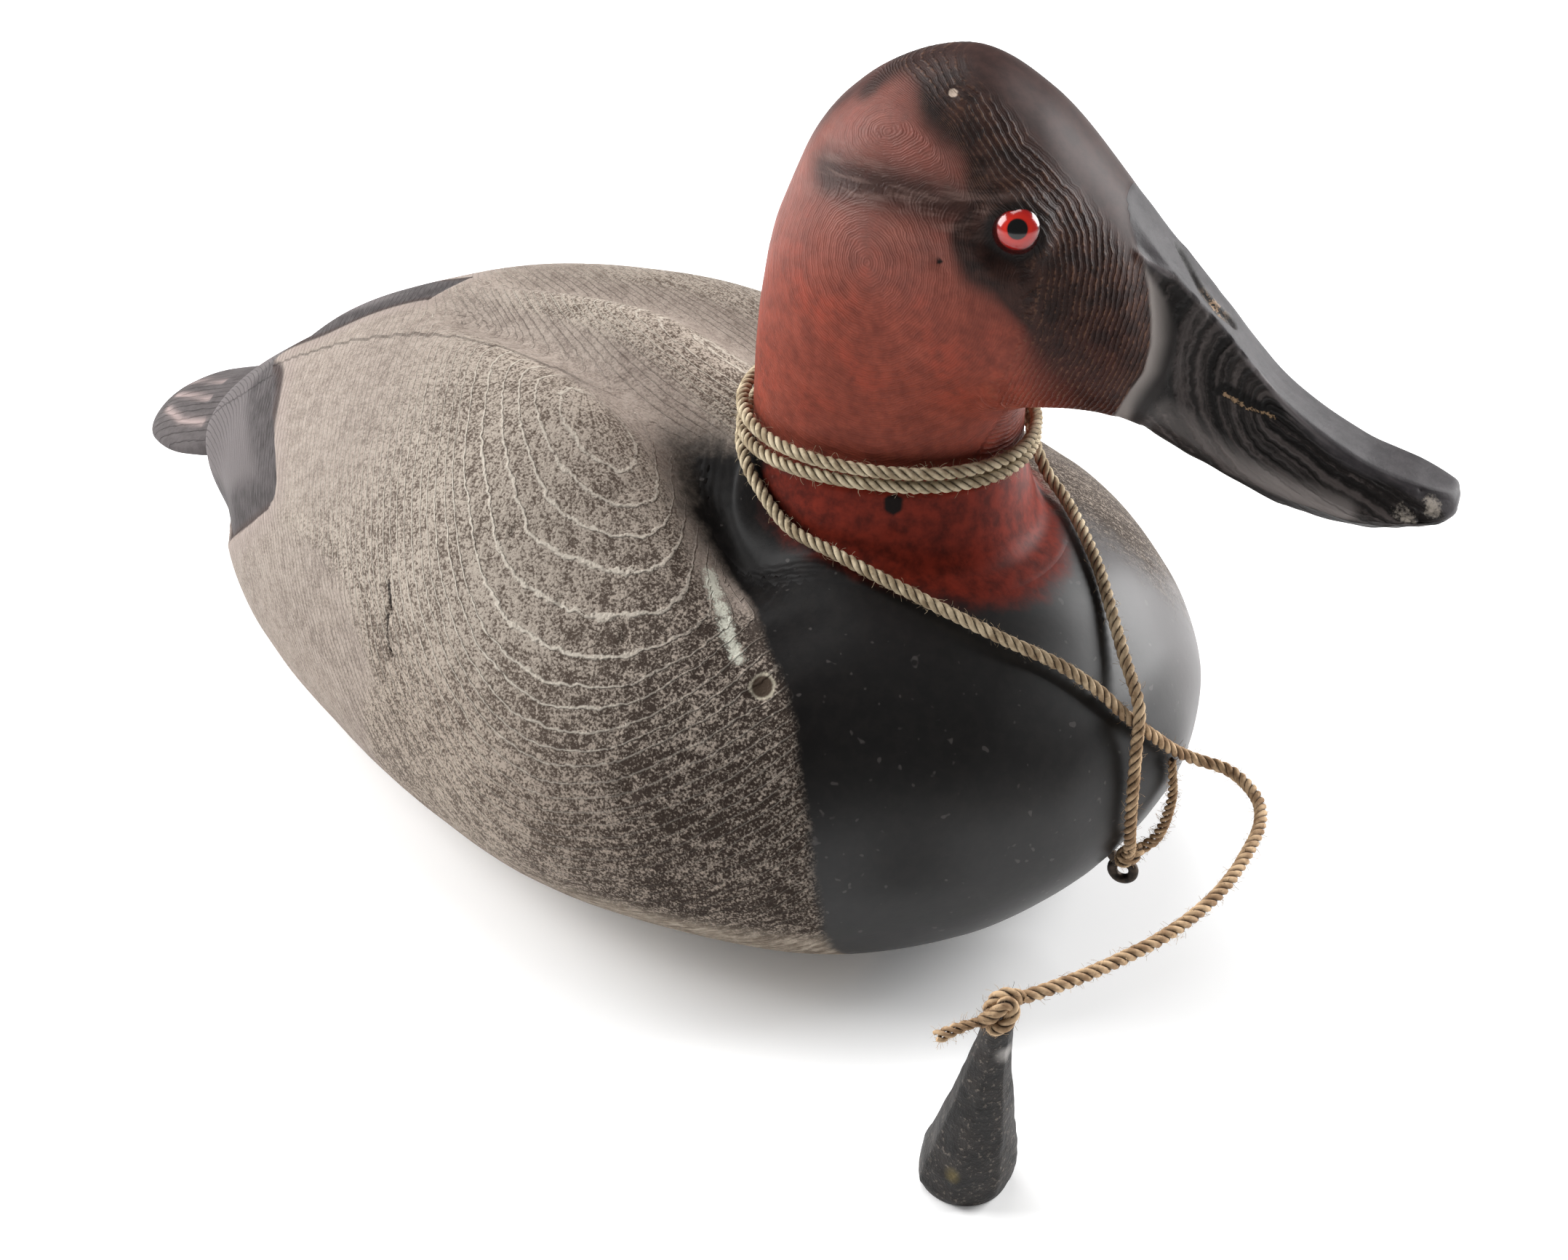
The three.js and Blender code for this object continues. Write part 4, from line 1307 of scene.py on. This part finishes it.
def twisting(material):
    """Lays strands round each curve like twine, with short loose fibres over them."""
    graph = Shaping("twine", {
        "Strands": "NodeSocketInt", "Strand Radius": "NodeSocketFloat", "Lay Radius": "NodeSocketFloat",
        "Lay Length": "NodeSocketFloat", "Step": "NodeSocketFloat", "Opening": "NodeSocketFloat",
        "Fibres": "NodeSocketFloat", "Seed": "NodeSocketInt",
    })
    curve = graph.node("GeometryNodeResampleCurve", {"mode": "LENGTH"}, {
        "Curve": graph.given("Geometry"), "Length": graph.given("Step"),
    })
    curve = graph.node("GeometryNodeSetCurveNormal", {"mode": "MINIMUM_TWIST"}, {"Curve": curve})
    position = graph.node("GeometryNodeInputPosition")
    curve = graph.stored(curve, "middle", position, "FLOAT_VECTOR")
    length = graph.node("GeometryNodeSplineParameter", output="Length")
    share = graph.node("GeometryNodeSplineParameter", output="Factor")
    copies = graph.node("GeometryNodeDuplicateElements", {"domain": "SPLINE"}, {
        "Geometry": curve, "Amount": graph.given("Strands"),
    })
    number = Signal(graph, copies.socket.node.outputs["Duplicate Index"])
    normal = graph.node("GeometryNodeInputNormal")
    tangent = graph.node("GeometryNodeInputTangent")
    side = graph.vector("CROSS_PRODUCT", tangent, normal)
    phase = length / graph.given("Lay Length") * TURN + number / graph.given("Strands") * TURN
    radius = graph.given("Lay Radius") * (1 + graph.given("Opening") * share)
    offset = graph.vector(
        "ADD",
        graph.scaled(normal, radius * phase.maths("COSINE")),
        graph.scaled(side, radius * phase.maths("SINE")),
    )
    strands = graph.node("GeometryNodeSetPosition", {}, {"Geometry": copies, "Offset": offset})
    width = graph.given("Strand Radius")
    ring = graph.node("GeometryNodeCurvePrimitiveCircle", {}, {"Resolution": 8, "Radius": width})
    rope = graph.swept(strands, ring)
    middle = graph.node("GeometryNodeInputNamedAttribute", {"data_type": "FLOAT_VECTOR"}, {"Name": "middle"})
    away = graph.vector("DISTANCE", position, middle, output="Value")
    whole_radius = graph.given("Lay Radius") + graph.given("Strand Radius")
    rope = graph.stored(rope, "depth", away / whole_radius)
    spots = graph.node("GeometryNodeDistributePointsOnFaces", {"distribute_method": "RANDOM"}, {
        "Mesh": rope, "Density": graph.given("Fibres"), "Seed": graph.given("Seed"),
    })
    hair = graph.node("GeometryNodeCurveQuadraticBezier", {}, {
        "Resolution": 6,
        "Start": (0, 0, -0.0003),
        "Middle": (0.0006, 0.0002, 0.0008),
        "End": (0.0024, 0.0004, 0.0009),
    })
    thin = graph.node("GeometryNodeCurvePrimitiveCircle", {}, {"Resolution": 3, "Radius": 0.00005})
    hair = graph.swept(hair, thin)
    turn = graph.node("FunctionNodeRandomValue", {"data_type": "FLOAT_VECTOR"}, {
        0: (-0.5, -0.5, 0.0), 1: (0.5, 0.5, TURN), "Seed": graph.given("Seed"),
    })
    turned = graph.node("FunctionNodeRotateRotation", {"rotation_space": "LOCAL"}, {
        "Rotation": Signal(graph, spots.socket.node.outputs["Rotation"]), "Rotate By": turn,
    })
    size = graph.node("FunctionNodeRandomValue", {"data_type": "FLOAT"}, {
        2: 0.3, 3: 0.85, "Seed": graph.given("Seed"),
    }, 1)
    fibres = graph.node("GeometryNodeInstanceOnPoints", {}, {
        "Points": spots, "Instance": hair, "Rotation": turned, "Scale": size,
    })
    both = graph.tree.nodes.new("GeometryNodeJoinGeometry")
    graph.feed(both.inputs[0], rope)
    graph.feed(both.inputs[0], fibres)
    return graph.finish(Signal(graph, both.outputs[0]), material)


def spun(name, points, graph, **settings):
    """A mesh piece of twine along points in millimetres, made by the Geometry Nodes tree."""
    curve = bpy.data.curves.new(name, "CURVE")
    curve.dimensions = "3D"
    spline = curve.splines.new("POLY")
    spline.points.add(len(points) - 1)
    flat = np.hstack([np.asarray(points) * MM, np.ones((len(points), 1))])
    spline.points.foreach_set("co", flat.ravel())
    source = bpy.data.objects.new(name, curve)
    bpy.context.collection.objects.link(source)
    modifier = source.modifiers.new("twine", "NODES")
    modifier.node_group = graph.tree
    for label, value in settings.items():
        modifier[graph.keys[label.replace("_", " ")]] = value
    bpy.context.view_layer.update()
    seen = source.evaluated_get(bpy.context.evaluated_depsgraph_get())
    mesh = bpy.data.meshes.new_from_object(seen)
    mesh.name = name
    bpy.data.objects.remove(source)
    bpy.data.curves.remove(curve)
    piece = bpy.data.objects.new(name, mesh)
    bpy.context.collection.objects.link(piece)
    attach(piece, "root")
    return piece


def neck_wraps():
    """Rather more than two turns of twine down the neck, which part at its back on the right side."""
    points = []
    for degrees in np.linspace(WRAP_START, WRAP_END, WRAP_POINTS + 1):
        turns = (degrees - WRAP_START) / 360
        parting = max(0, math.cos(math.radians(degrees - PARTING_AT))) ** 2
        spread = min(max(2.8 - 3.5 * turns, -1), 3) * parting
        angle = math.radians(degrees) - HEAD_TURN
        points.append(tuple(round_neck(angle, WRAP_OUT, WRAP_TOP_Z - WRAP_PITCH * turns + spread)))
    return points


ROUTE_STEP = 1.0
END_STEP = 0.4
# How the three strands are laid in the cord, and more thinly in its loose ends, which open out.
LAY = {
    "Strands": 3,
    "Strand_Radius": 0.76 * MM,
    "Lay_Radius": 0.8 * MM,
    "Lay_Length": 7.4 * MM,
    "Step": 0.45 * MM,
}
END_LAY = {**LAY, "Strand_Radius": 0.5 * MM, "Lay_Radius": 0.52 * MM, "Lay_Length": 6 * MM, "Opening": 1.1}
EYE_KNOT_LOOPS = [
    (151.8, -14, 36), (151.2, -13, 33), (149.4, -12.2, 31), (148.4, -10, 30.2), (150, -8.6, 31.2),
    (152, -9.4, 32.6), (152.3, -11.8, 32.2), (150.2, -13, 30.4), (148.6, -11.4, 29.4), (149.4, -8.8, 29.8),
    (151.2, -5.6, 30.2),
]
WEIGHT_KNOT_LOOPS = [
    (167.2, -94, 56.5), (165.8, -95.8, 58), (164, -97.2, 57.8), (162.9, -98.6, 56), (163, -99.9, 53.6),
    (164.6, -100.8, 52), (166.3, -100, 52.4), (167.3, -98.2, 54.4), (167, -97.2, 56.8), (165.9, -98.6, 57.6),
    (165, -100, 56), (163.8, -101.6, 54.8), (162.6, -102.8, 54.2),
]


# The pieces at the cord's two ends: name, node, path, lay, loose fibres to the square metre and seed.
END_PIECES = (
    ("knot_round_screw_eye", "knot_at_eye", EYE_KNOT_LOOPS, {**LAY, "Opening": 0.0}, 8.0e5, 5),
    ("knot_through_weight", "knot_at_weight", WEIGHT_KNOT_LOOPS, {**LAY, "Opening": 0.0}, 8.0e5, 6),
    ("frayed_end_at_eye", "cord_tail_at_eye", EYE_TAIL[::-1], END_LAY, 1.6e6, 7),
    ("frayed_end_at_weight", "cord_tail_at_weight", WEIGHT_TAIL, END_LAY, 1.6e6, 8),
)


def lay_twine(material):
    """The long anchor cord with its two knots and frayed ends."""
    graph = twisting(material)
    route = curve_through(CORD_FROM_EYE + neck_wraps() + CORD_TO_WEIGHT, ROUTE_STEP)
    long_run = spun("anchor_cord", route, graph, **LAY, Opening=0.0, Fibres=4.0e5, Seed=3)
    ends = []
    for name, node, path, lay, fibres, seed in END_PIECES:
        end = spun(name, curve_through(path, END_STEP), graph, **lay, Fibres=fibres, Seed=seed)
        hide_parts(node)
        ends.append(end)
    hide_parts("cord")
    length = np.linalg.norm(np.diff(route, axis=0), axis=1).sum()
    return long_run, ends, route, length


def painted_body():
    skin = Finish("grey paint over wood", Specular_IOR_Level=0.1, Coat_Roughness=0.42)
    x, y, z = skin.coordinates()
    run, arc, past = skin.mark("run"), skin.mark("arc"), skin.mark("past_edge")
    patches = skin.noise(16.0, 3, 0.55)
    mottle = skin.noise(3.6, 4, 0.65)
    specks = skin.noise(0.62, 3, 0.65)
    pebbles = skin.noise(1.6, 2, 0.5, shift=11.0)
    wobble = skin.noise(2.4, 2, 0.5, shift=7.0)
    count = skin.mark("ring") + (wobble - 0.5) * 0.34
    crest = skin.lines(count, 0.02, 0.095)
    flow = skin.node("ShaderNodeCombineXYZ", {}, {"X": count * 1.9, "Y": run / 3.2, "Z": arc / 40.0})
    streak = skin.noise(1, 4, 0.62, flow)

    # Where the grey is smooth and even: behind the flanks, in the valleys, by the rump and low down.
    low_zone = skin.ramp(skin.mark("smooth") + (mottle - 0.5) * 5.0, -2.0, 5.0) * 0.9
    soft_valley = skin.ramp(skin.mark("valley"), 1.6, 4.2)
    even = skin.ramp(-x, 18.0, 62.0) * skin.fall(arc, 66.0, 104.0)
    even = even.maths("MAXIMUM", soft_valley)
    even = even.maths("MAXIMUM", skin.ramp(past, -16.0, -7.0) * skin.fall(z, 84.0, 94.0) * 0.8)
    even = even.maths("MAXIMUM", low_zone)
    low = skin.ramp(arc, 92.0, 134.0)
    # Painted shade: toward the breast the grey is darker and its pale specks sparser.
    forward = skin.ramp(x, 15.0, 75.0)

    # The grey paint, broken by specks of dark wood, with pale lines on the growth rings' ridges.
    dark = skin.mix(forward, (88, 76, 67), (50, 40, 34))
    light = skin.mix(low, (172, 161, 149), (168, 155, 142))
    light = skin.mix(forward * 0.5, light, (150, 136, 124))
    rough_cover = specks * 0.56 + pebbles * 0.16 + streak * 0.28
    even_cover = specks * 0.25 + mottle * 0.15 + streak * 0.28 + 0.17
    cover = skin.mix(even, rough_cover, even_cover) + (patches - 0.5) * 0.12 - forward * (1 - even) * 0.05
    colour = skin.between(cover, 0.42, 0.56, dark, light)
    plain = skin.between(specks * 0.6 + mottle * 0.4, 0.35, 0.65, (124, 112, 104), (158, 146, 137))
    colour = skin.mix(even * 0.72, colour, plain)
    patchy = skin.ramp(mottle + specks * 0.4, 0.46, 0.66)
    lined = crest * (patchy * 0.9 * (1 - even) + even * 0.5) * (1 - low * 0.7) * (1 - soft_valley)
    lined = lined * (1 - skin.ramp(x, 36.0, 70.0) * 0.75) * (1 - low_zone)
    lined = lined * (0.7 + skin.ramp(arc, 44.0, 74.0) * 0.3)
    colour = skin.mix(lined, colour, (200, 191, 178))
    colour = skin.mix(skin.ramp(y, 4.0, 28.0) * 0.28, colour, (96, 86, 78))

    # Pale streaky strip above the ground toward the front, partly fine grain and partly painted light thrown
    # up from the floor; worn streak, ringed pit, dark inside as painted shade, and crack.
    strip = skin.fall(z + (mottle - 0.5) * 6.0, 22.0, 30.0) * skin.ramp(x, 10.0, 60.0)
    colour = skin.mix(strip * 0.75, colour, skin.between(streak, 0.3, 0.7, (124, 110, 96), (182, 170, 154)))
    worn = skin.fall(skin.mark("from_worn") + (specks + mottle - 1.0) * 5.0, 0.6, 2.2)
    colour = skin.mix(worn * 0.9, colour, (204, 204, 190))
    pit = skin.mark("from_pit")
    colour = skin.mix(skin.fall(pit + (mottle - 0.5) * 2.0, 2.8, 3.5) * 0.6, colour, (196, 188, 168))
    # Painted shade: the ringed pit is dark inside.
    colour = skin.mix(skin.fall(pit, 2.2, 2.9), colour, (66, 54, 44))
    cracked = skin.fall(skin.mark("from_crack") + (specks - 0.5) * 1.2, 0.3, 0.9)
    colour = skin.mix(cracked, colour, (36, 28, 24))

    # The dark rump with its brown brink, the pale rim before it and the feather lines on the tail.
    grain = skin.between(streak * 0.5 + patches * 0.5, 0.38, 0.62, (84, 79, 79), (58, 53, 53))
    rump = skin.ramp(past, -1.0, 0.9)
    colour = skin.mix(skin.ramp(past, -9.0, -1.5) * (1 - rump) * 0.6, colour, (150, 137, 130))
    colour = skin.mix(rump, colour, skin.between(past, 10.0, 18.0, grain, (99, 93, 93)))
    colour = skin.mix(skin.mark("groove") * 0.8, colour, (172, 154, 150))
    colour = skin.mix(rump * skin.fall(past, 1.2, 3.4) * 0.7, colour, (64, 50, 46))

    # The black breast, mixed toward grey on its left side as a painted sheen, and the red foot of the neck
    # with its plug hole.
    black = skin.ramp(skin.mark("black") + (mottle - 0.5) * 1.6, -1.0, 1.0)
    night = skin.between(mottle, 0.35, 0.7, (9, 7, 7), (19, 16, 15))
    # Painted sheen: the black turns grey toward the breast's left side.
    night = skin.mix(skin.ramp(y, -4.0, 26.0) * 0.9, night, (76, 72, 72))
    chips = skin.ramp(skin.noise(2.6, 1, 0.5, shift=3.0), 0.7, 0.76)
    night = skin.mix(chips * 0.4, night, (92, 87, 85))
    colour = skin.mix(black, colour, night)
    red = skin.ramp(skin.mark("red") + (mottle - 0.5) * 3.0, -3.4, 3.4)
    colour = skin.mix(red, colour, skin.between(mottle, 0.3, 0.7, (82, 27, 18), (124, 42, 28)))
    colour = skin.mix(skin.fall(skin.mark("from_hole"), 2.0, 2.9), colour, (20, 12, 10))

    covered = black.maths("MAXIMUM", red)
    satin = covered * skin.ramp(x, 78.0, 112.0) * (1 - red)
    skin.set(Base_Color=colour, Roughness=0.66 - covered * 0.2, Coat_Weight=satin * 0.55)
    rough = (specks + pebbles * 0.7) * 0.5 * (1 - even * 0.7) + streak * 0.5
    rough = rough + crest * 0.55 * (1 - covered * 0.8)
    skin.bump(rough * (1 - covered) + mottle * covered * 0.15, 0.6, 1.0)
    return skin.material


def painted_bill(skin, mottle, specks, wobble):
    """The bill's paint with painted highlights along its base and ridges, and the grooves between its growth
    rings.
    """
    arcs = skin.mark("arcs") + (wobble - 0.5) * 0.4
    groove = skin.lines(arcs, 0.05, 0.3)
    flow = skin.node("ShaderNodeCombineXYZ", {}, {"X": arcs * 0.9, "Y": mottle * 0.6})
    bands = skin.noise(1, 3, 0.7, flow)
    top = skin.between(mottle, 0.3, 0.7, (47, 44, 46), (63, 59, 61))
    side = skin.between(bands, 0.4, 0.6, (24, 20, 19), (80, 73, 71))
    side = skin.mix(groove * 0.75, side, (13, 10, 9))
    pale = skin.fall(skin.mark("pale_band") + (bands - 0.5) * 5.0, 1.0, 4.6)
    farther = skin.ramp(skin.mark("along_bill"), 74.0, 90.0)
    side = skin.mix(pale * (0.3 + farther * 0.5), side, (124, 117, 114))
    side = skin.mix(skin.fall(skin.mark("above_rim"), 0.0, 1.2), side, (24, 20, 19))
    # Painted highlight: the wedge at the bill's base is pale along its raised lip next to the face and
    # darkens away from it.
    wedge = skin.fall(skin.mark("wedge"), -1.2, 0.4)
    from_base = skin.mark("bill") - skin.mark("low_face") * 4.0
    side = skin.mix(wedge, side, skin.between(from_base, 0.2, 4.5, (126, 119, 115), (38, 34, 33)))
    off_top = skin.ramp(skin.mark("off_top"), -0.4, 0.7)
    horn = skin.mix(off_top, top, side)
    # Painted highlight: a pale line along each ridge of the bill's top.
    horn = skin.mix(skin.fall(skin.mark("from_ridge"), 0.3, 0.9) * 0.6, horn, (120, 114, 114))

    # The gouge with its bare wood, the nostril with its worn rim and the worn nail.
    gouge = skin.mark("from_gouge") + (specks - 0.5) * 0.8
    chips = skin.mark("bare_wood") * skin.ramp(specks, 0.46, 0.54)
    horn = skin.mix(skin.fall(gouge, 1.9, 2.3), horn, skin.mix(chips, (24, 19, 17), (160, 132, 104)))
    from_slit = skin.mark("from_slit")
    above_slit = skin.fall(skin.mark("below_slit"), 0.2, 0.8)
    horn = skin.mix(skin.fall(from_slit, 1.6, 2.6) * above_slit, horn, (16, 13, 12))
    rim = skin.fall(from_slit + (specks + mottle - 1.0) * 1.8, 0.1, 0.42)
    horn = skin.mix(rim * 0.85, horn, (158, 130, 100))
    wear = skin.fall(skin.mark("from_wear") + (mottle + specks - 1.0) * 4.0, 0.6, 2.4)
    horn = skin.mix(wear * 0.65, horn, (178, 168, 156))
    return horn, groove * off_top * (1 - wedge)


def painted_head():
    skin = Finish("red paint over wood", Roughness=0.5, Specular_IOR_Level=0.18)
    on_face, upper, forehead = skin.mark("on_face"), skin.mark("upper"), skin.mark("forehead")
    patches = skin.noise(14.0, 3, 0.55)
    mottle = skin.noise(4.0, 4, 0.65)
    specks = skin.noise(0.9, 3, 0.6)
    wobble = skin.noise(2.0, 2, 0.5, shift=5.0)
    count = skin.mark("loops") + (wobble - 0.5) * 0.7
    crest = skin.lines(count, 0.06, 0.3)
    thin = skin.lines(count * 3.0, 0.1, 0.4)

    # Brick red, brighter in patches, and greyer with grey-brown patches toward the crown, where the grey is
    # a painted sheen.
    low_red = skin.between(mottle, 0.2, 0.8, (108, 49, 37), (144, 69, 53))
    high_red = skin.between(mottle, 0.2, 0.8, (118, 64, 53), (144, 86, 74))
    red = skin.mix(upper, low_red, high_red)
    bright = skin.ramp(patches, 0.46, 0.66) * skin.ramp(mottle, 0.3, 0.7)
    red = skin.mix(bright * 0.45, red, (156, 62, 44))
    red = skin.mix(thin * 0.16, red, (70, 30, 24))
    # Painted sheen: grey-brown patches over the upper head.
    red = skin.mix(upper * skin.ramp(patches, 0.35, 0.6) * 0.5, red, (104, 72, 66))

    # The darkened face, the dark band behind the eye with pale streaks of painted sheen, the mauve forehead
    # and the pit in the cheek.
    brown = skin.between(mottle, 0.3, 0.7, (40, 15, 9), (62, 26, 17))
    black = skin.between(mottle, 0.3, 0.7, (32, 19, 16), (58, 36, 30))
    shade = skin.mix(skin.mark("low_face"), black, brown)
    colour = skin.between(skin.mark("dark") + (mottle - 0.5) * 0.5, 0.2, 0.8, red, shade)
    # Painted sheen: pale streaks over the dark band behind the eye.
    sheen_streaks = skin.noise(1, 3, 0.6, skin.stretched(12, 12, 1.7))
    colour = skin.mix(skin.mark("band") * skin.ramp(sheen_streaks, 0.42, 0.74) * 0.42, colour, (136, 110, 102))
    mauve = skin.between(mottle, 0.3, 0.7, (42, 25, 22), (58, 37, 33))
    colour = skin.mix(forehead.maths("MAXIMUM", skin.mark("ridge_top") * 0.8), colour, mauve)
    colour = skin.mix(skin.fall(skin.mark("from_pit"), 0.7, 1.2), colour, (18, 10, 8))
    # Pale ridges on the face, the dark ring round the eye and the chip on the crown.
    broken = skin.ramp(specks * 0.6 + mottle * 0.4, 0.47, 0.6)
    colour = skin.mix(on_face * crest * broken * 0.36, colour, (128, 92, 70))
    colour = skin.mix(skin.fall(skin.mark("from_eye"), 5.6, 8.0) * 0.85, colour, (14, 9, 8))
    colour = skin.mix(skin.fall(skin.mark("from_chip"), 0.9, 1.3), colour, (196, 176, 160))

    horn, grooves = painted_bill(skin, mottle, specks, wobble)
    on_bill = skin.ramp(skin.mark("bill"), -0.4, 0.4)
    skin.set(Base_Color=skin.mix(on_bill, colour, horn))
    rough = (crest * (0.12 + on_face * 0.5) + thin * 0.12 + specks * 0.2) * (1 - forehead)
    skin.bump(skin.mix(on_bill, rough, specks * 0.15 - grooves * 0.7), 0.5, 0.8)
    return skin.material


def red_glass():
    """The eye's red iris round its black pupil, with a darker rim."""
    skin = Finish("glass eye", Roughness=0.16, Specular_IOR_Level=0.5, Coat_Weight=0.4, Coat_Roughness=0.12)
    gap = skin.mark("from_axis")
    iris = skin.between(gap, 2.4, 4.0, (190, 34, 20), (150, 14, 9))
    iris = skin.between(gap, 3.9, 4.6, iris, (46, 6, 5))
    skin.set(Base_Color=skin.between(gap, 2.0, 2.4, (2, 2, 2), iris))
    return skin.material


# The twine is brown below the lower of these heights and pale above the upper.
BROWN_BELOW = 60
PALE_ABOVE = 112


def spun_hemp():
    """Pale twine, browner low down where it hangs in front of the breast, and darkened between its strands
    as painted shade.
    """
    skin = Finish("twine", Roughness=0.9)
    mottle = skin.noise(4.0, 3, 0.6)
    pale = skin.between(mottle, 0.35, 0.65, (150, 133, 106), (204, 189, 160))
    brown = skin.between(mottle, 0.35, 0.65, (140, 106, 74), (198, 164, 126))
    colour = skin.mix(skin.fall(skin.coordinates()[2], BROWN_BELOW, PALE_ABOVE) * 0.8, pale, brown)
    # Painted shade: dark where the surface lies deep between the strands.
    skin.set(Base_Color=skin.between(skin.mark("depth"), 0.61, 0.96, (44, 30, 20), colour))
    return skin.material


# A yellowish stain near the weight's foot and a pale patch near its top.
LEAD_STAIN = (159.8, -107, 10)
LEAD_PALE_PATCH = (166.6, -98.2, 44)


def dull_lead():
    """Dark lead with pale flecks."""
    skin = Finish("cast lead", Roughness=0.55, Metallic=0.15, Specular_IOR_Level=0.35)
    mottle = skin.noise(5.0, 4, 0.6)
    specks = skin.noise(1.0, 3, 0.65)
    colour = skin.between(mottle, 0.35, 0.7, (16, 13, 12), (38, 33, 30))
    flecks = skin.ramp(specks, 0.56, 0.68) * skin.ramp(mottle, 0.35, 0.55)
    colour = skin.mix(flecks * 0.6, colour, (122, 112, 102))
    colour = skin.mix(skin.near(LEAD_STAIN, 0.8, 3.2) * specks, colour, (132, 116, 66))
    colour = skin.mix(skin.near(LEAD_PALE_PATCH, 0.4, 3.2) * 0.6, colour, (182, 178, 174))
    skin.set(Base_Color=colour)
    skin.bump(specks + mottle, 0.5, 0.7)
    return skin.material


def dark_iron():
    skin = Finish("dark iron", Roughness=0.5, Metallic=0.8)
    skin.set(Base_Color=skin.between(skin.noise(1.5), 0.3, 0.7, (40, 36, 33), (70, 60, 52)))
    return skin.material


# The floor glows by itself, faintly round the duck, which paints a shadow round it, and fully farther away
# (mm).
FLOOR_GLOW = 0.9
FAINT_GLOW_OUT_TO = 400
FULL_GLOW_FROM = 1500
FLOOR_HALF = 6.0
# The softboxes: how far to the camera's right, ahead of it and up, their size in metres and their watts.
SOFTBOXES = {
    "left_softbox": ((-1.15, 0.25, 0.75), 0.9, 27),
    "right_softbox": ((1.15, 0.35, 0.6), 0.8, 25),
    "top_softbox": ((-0.2, 0.5, 1.5), 0.9, 13),
}
LAMPS_AIM = Vector((0.05, 0, 0.1))
ROOM_LIGHT = 0.16
CAMERA_RIGHT = np.array((math.cos(CAMERA_AZIMUTH), math.sin(CAMERA_AZIMUTH), 0))
CAMERA_AHEAD = np.array((-math.sin(CAMERA_AZIMUTH), math.cos(CAMERA_AZIMUTH), 0))


def pale_floor():
    skin = Finish("pale floor", Roughness=0.9)
    # Painted shadow: the floor's glow is grey round the duck and white farther away.
    glow = skin.mix(skin.near((0, 0, 0), FAINT_GLOW_OUT_TO, FULL_GLOW_FROM), (255, 255, 255), (89, 89, 89))
    skin.set(Base_Color=paint(255, 255, 255), Emission_Color=glow, Emission_Strength=FLOOR_GLOW)
    return skin.material


def lay_floor():
    mesh = bpy.data.meshes.new("floor")
    corners = [(FLOOR_HALF * x, FLOOR_HALF * y, 0) for x, y in ((-1, -1), (1, -1), (1, 1), (-1, 1))]
    mesh.from_pydata(corners, [], [(0, 1, 2, 3)])
    mesh.materials.append(pale_floor())
    floor = bpy.data.objects.new("floor", mesh)
    bpy.context.collection.objects.link(floor)


def light_studio():
    for name, ((right, ahead, up), size, power) in SOFTBOXES.items():
        light = bpy.data.lights.new(name, "AREA")
        light.size = size
        light.energy = power
        lamp = bpy.data.objects.new(name, light)
        lamp.location = Vector(right * CAMERA_RIGHT + ahead * CAMERA_AHEAD + (0, 0, up))
        lamp.rotation_mode = "QUATERNION"
        lamp.rotation_quaternion = (LAMPS_AIM - lamp.location).to_track_quat("-Z", "Y")
        bpy.context.collection.objects.link(lamp)
    world = bpy.data.worlds.new("studio")
    world.use_nodes = True
    sky = world.node_tree.nodes["Background"]
    sky.inputs["Color"].default_value = (1, 1, 1, 1)
    sky.inputs["Strength"].default_value = ROOM_LIGHT
    bpy.context.scene.world = world
    bpy.context.scene.view_settings.view_transform = "Standard"


place_camera()
cord, on_cord, route, cord_length = lay_twine(spun_hemp())
weight = cast_weight(dull_lead())
float(cord_length * MM)
on_cord + [weight]
[tuple(p) for p in (route * MM).tolist()]
carve_body(painted_body())
carve_head(painted_head())
set_eyes(red_glass())
make_screw_eye(dark_iron())
lay_floor()
light_studio()
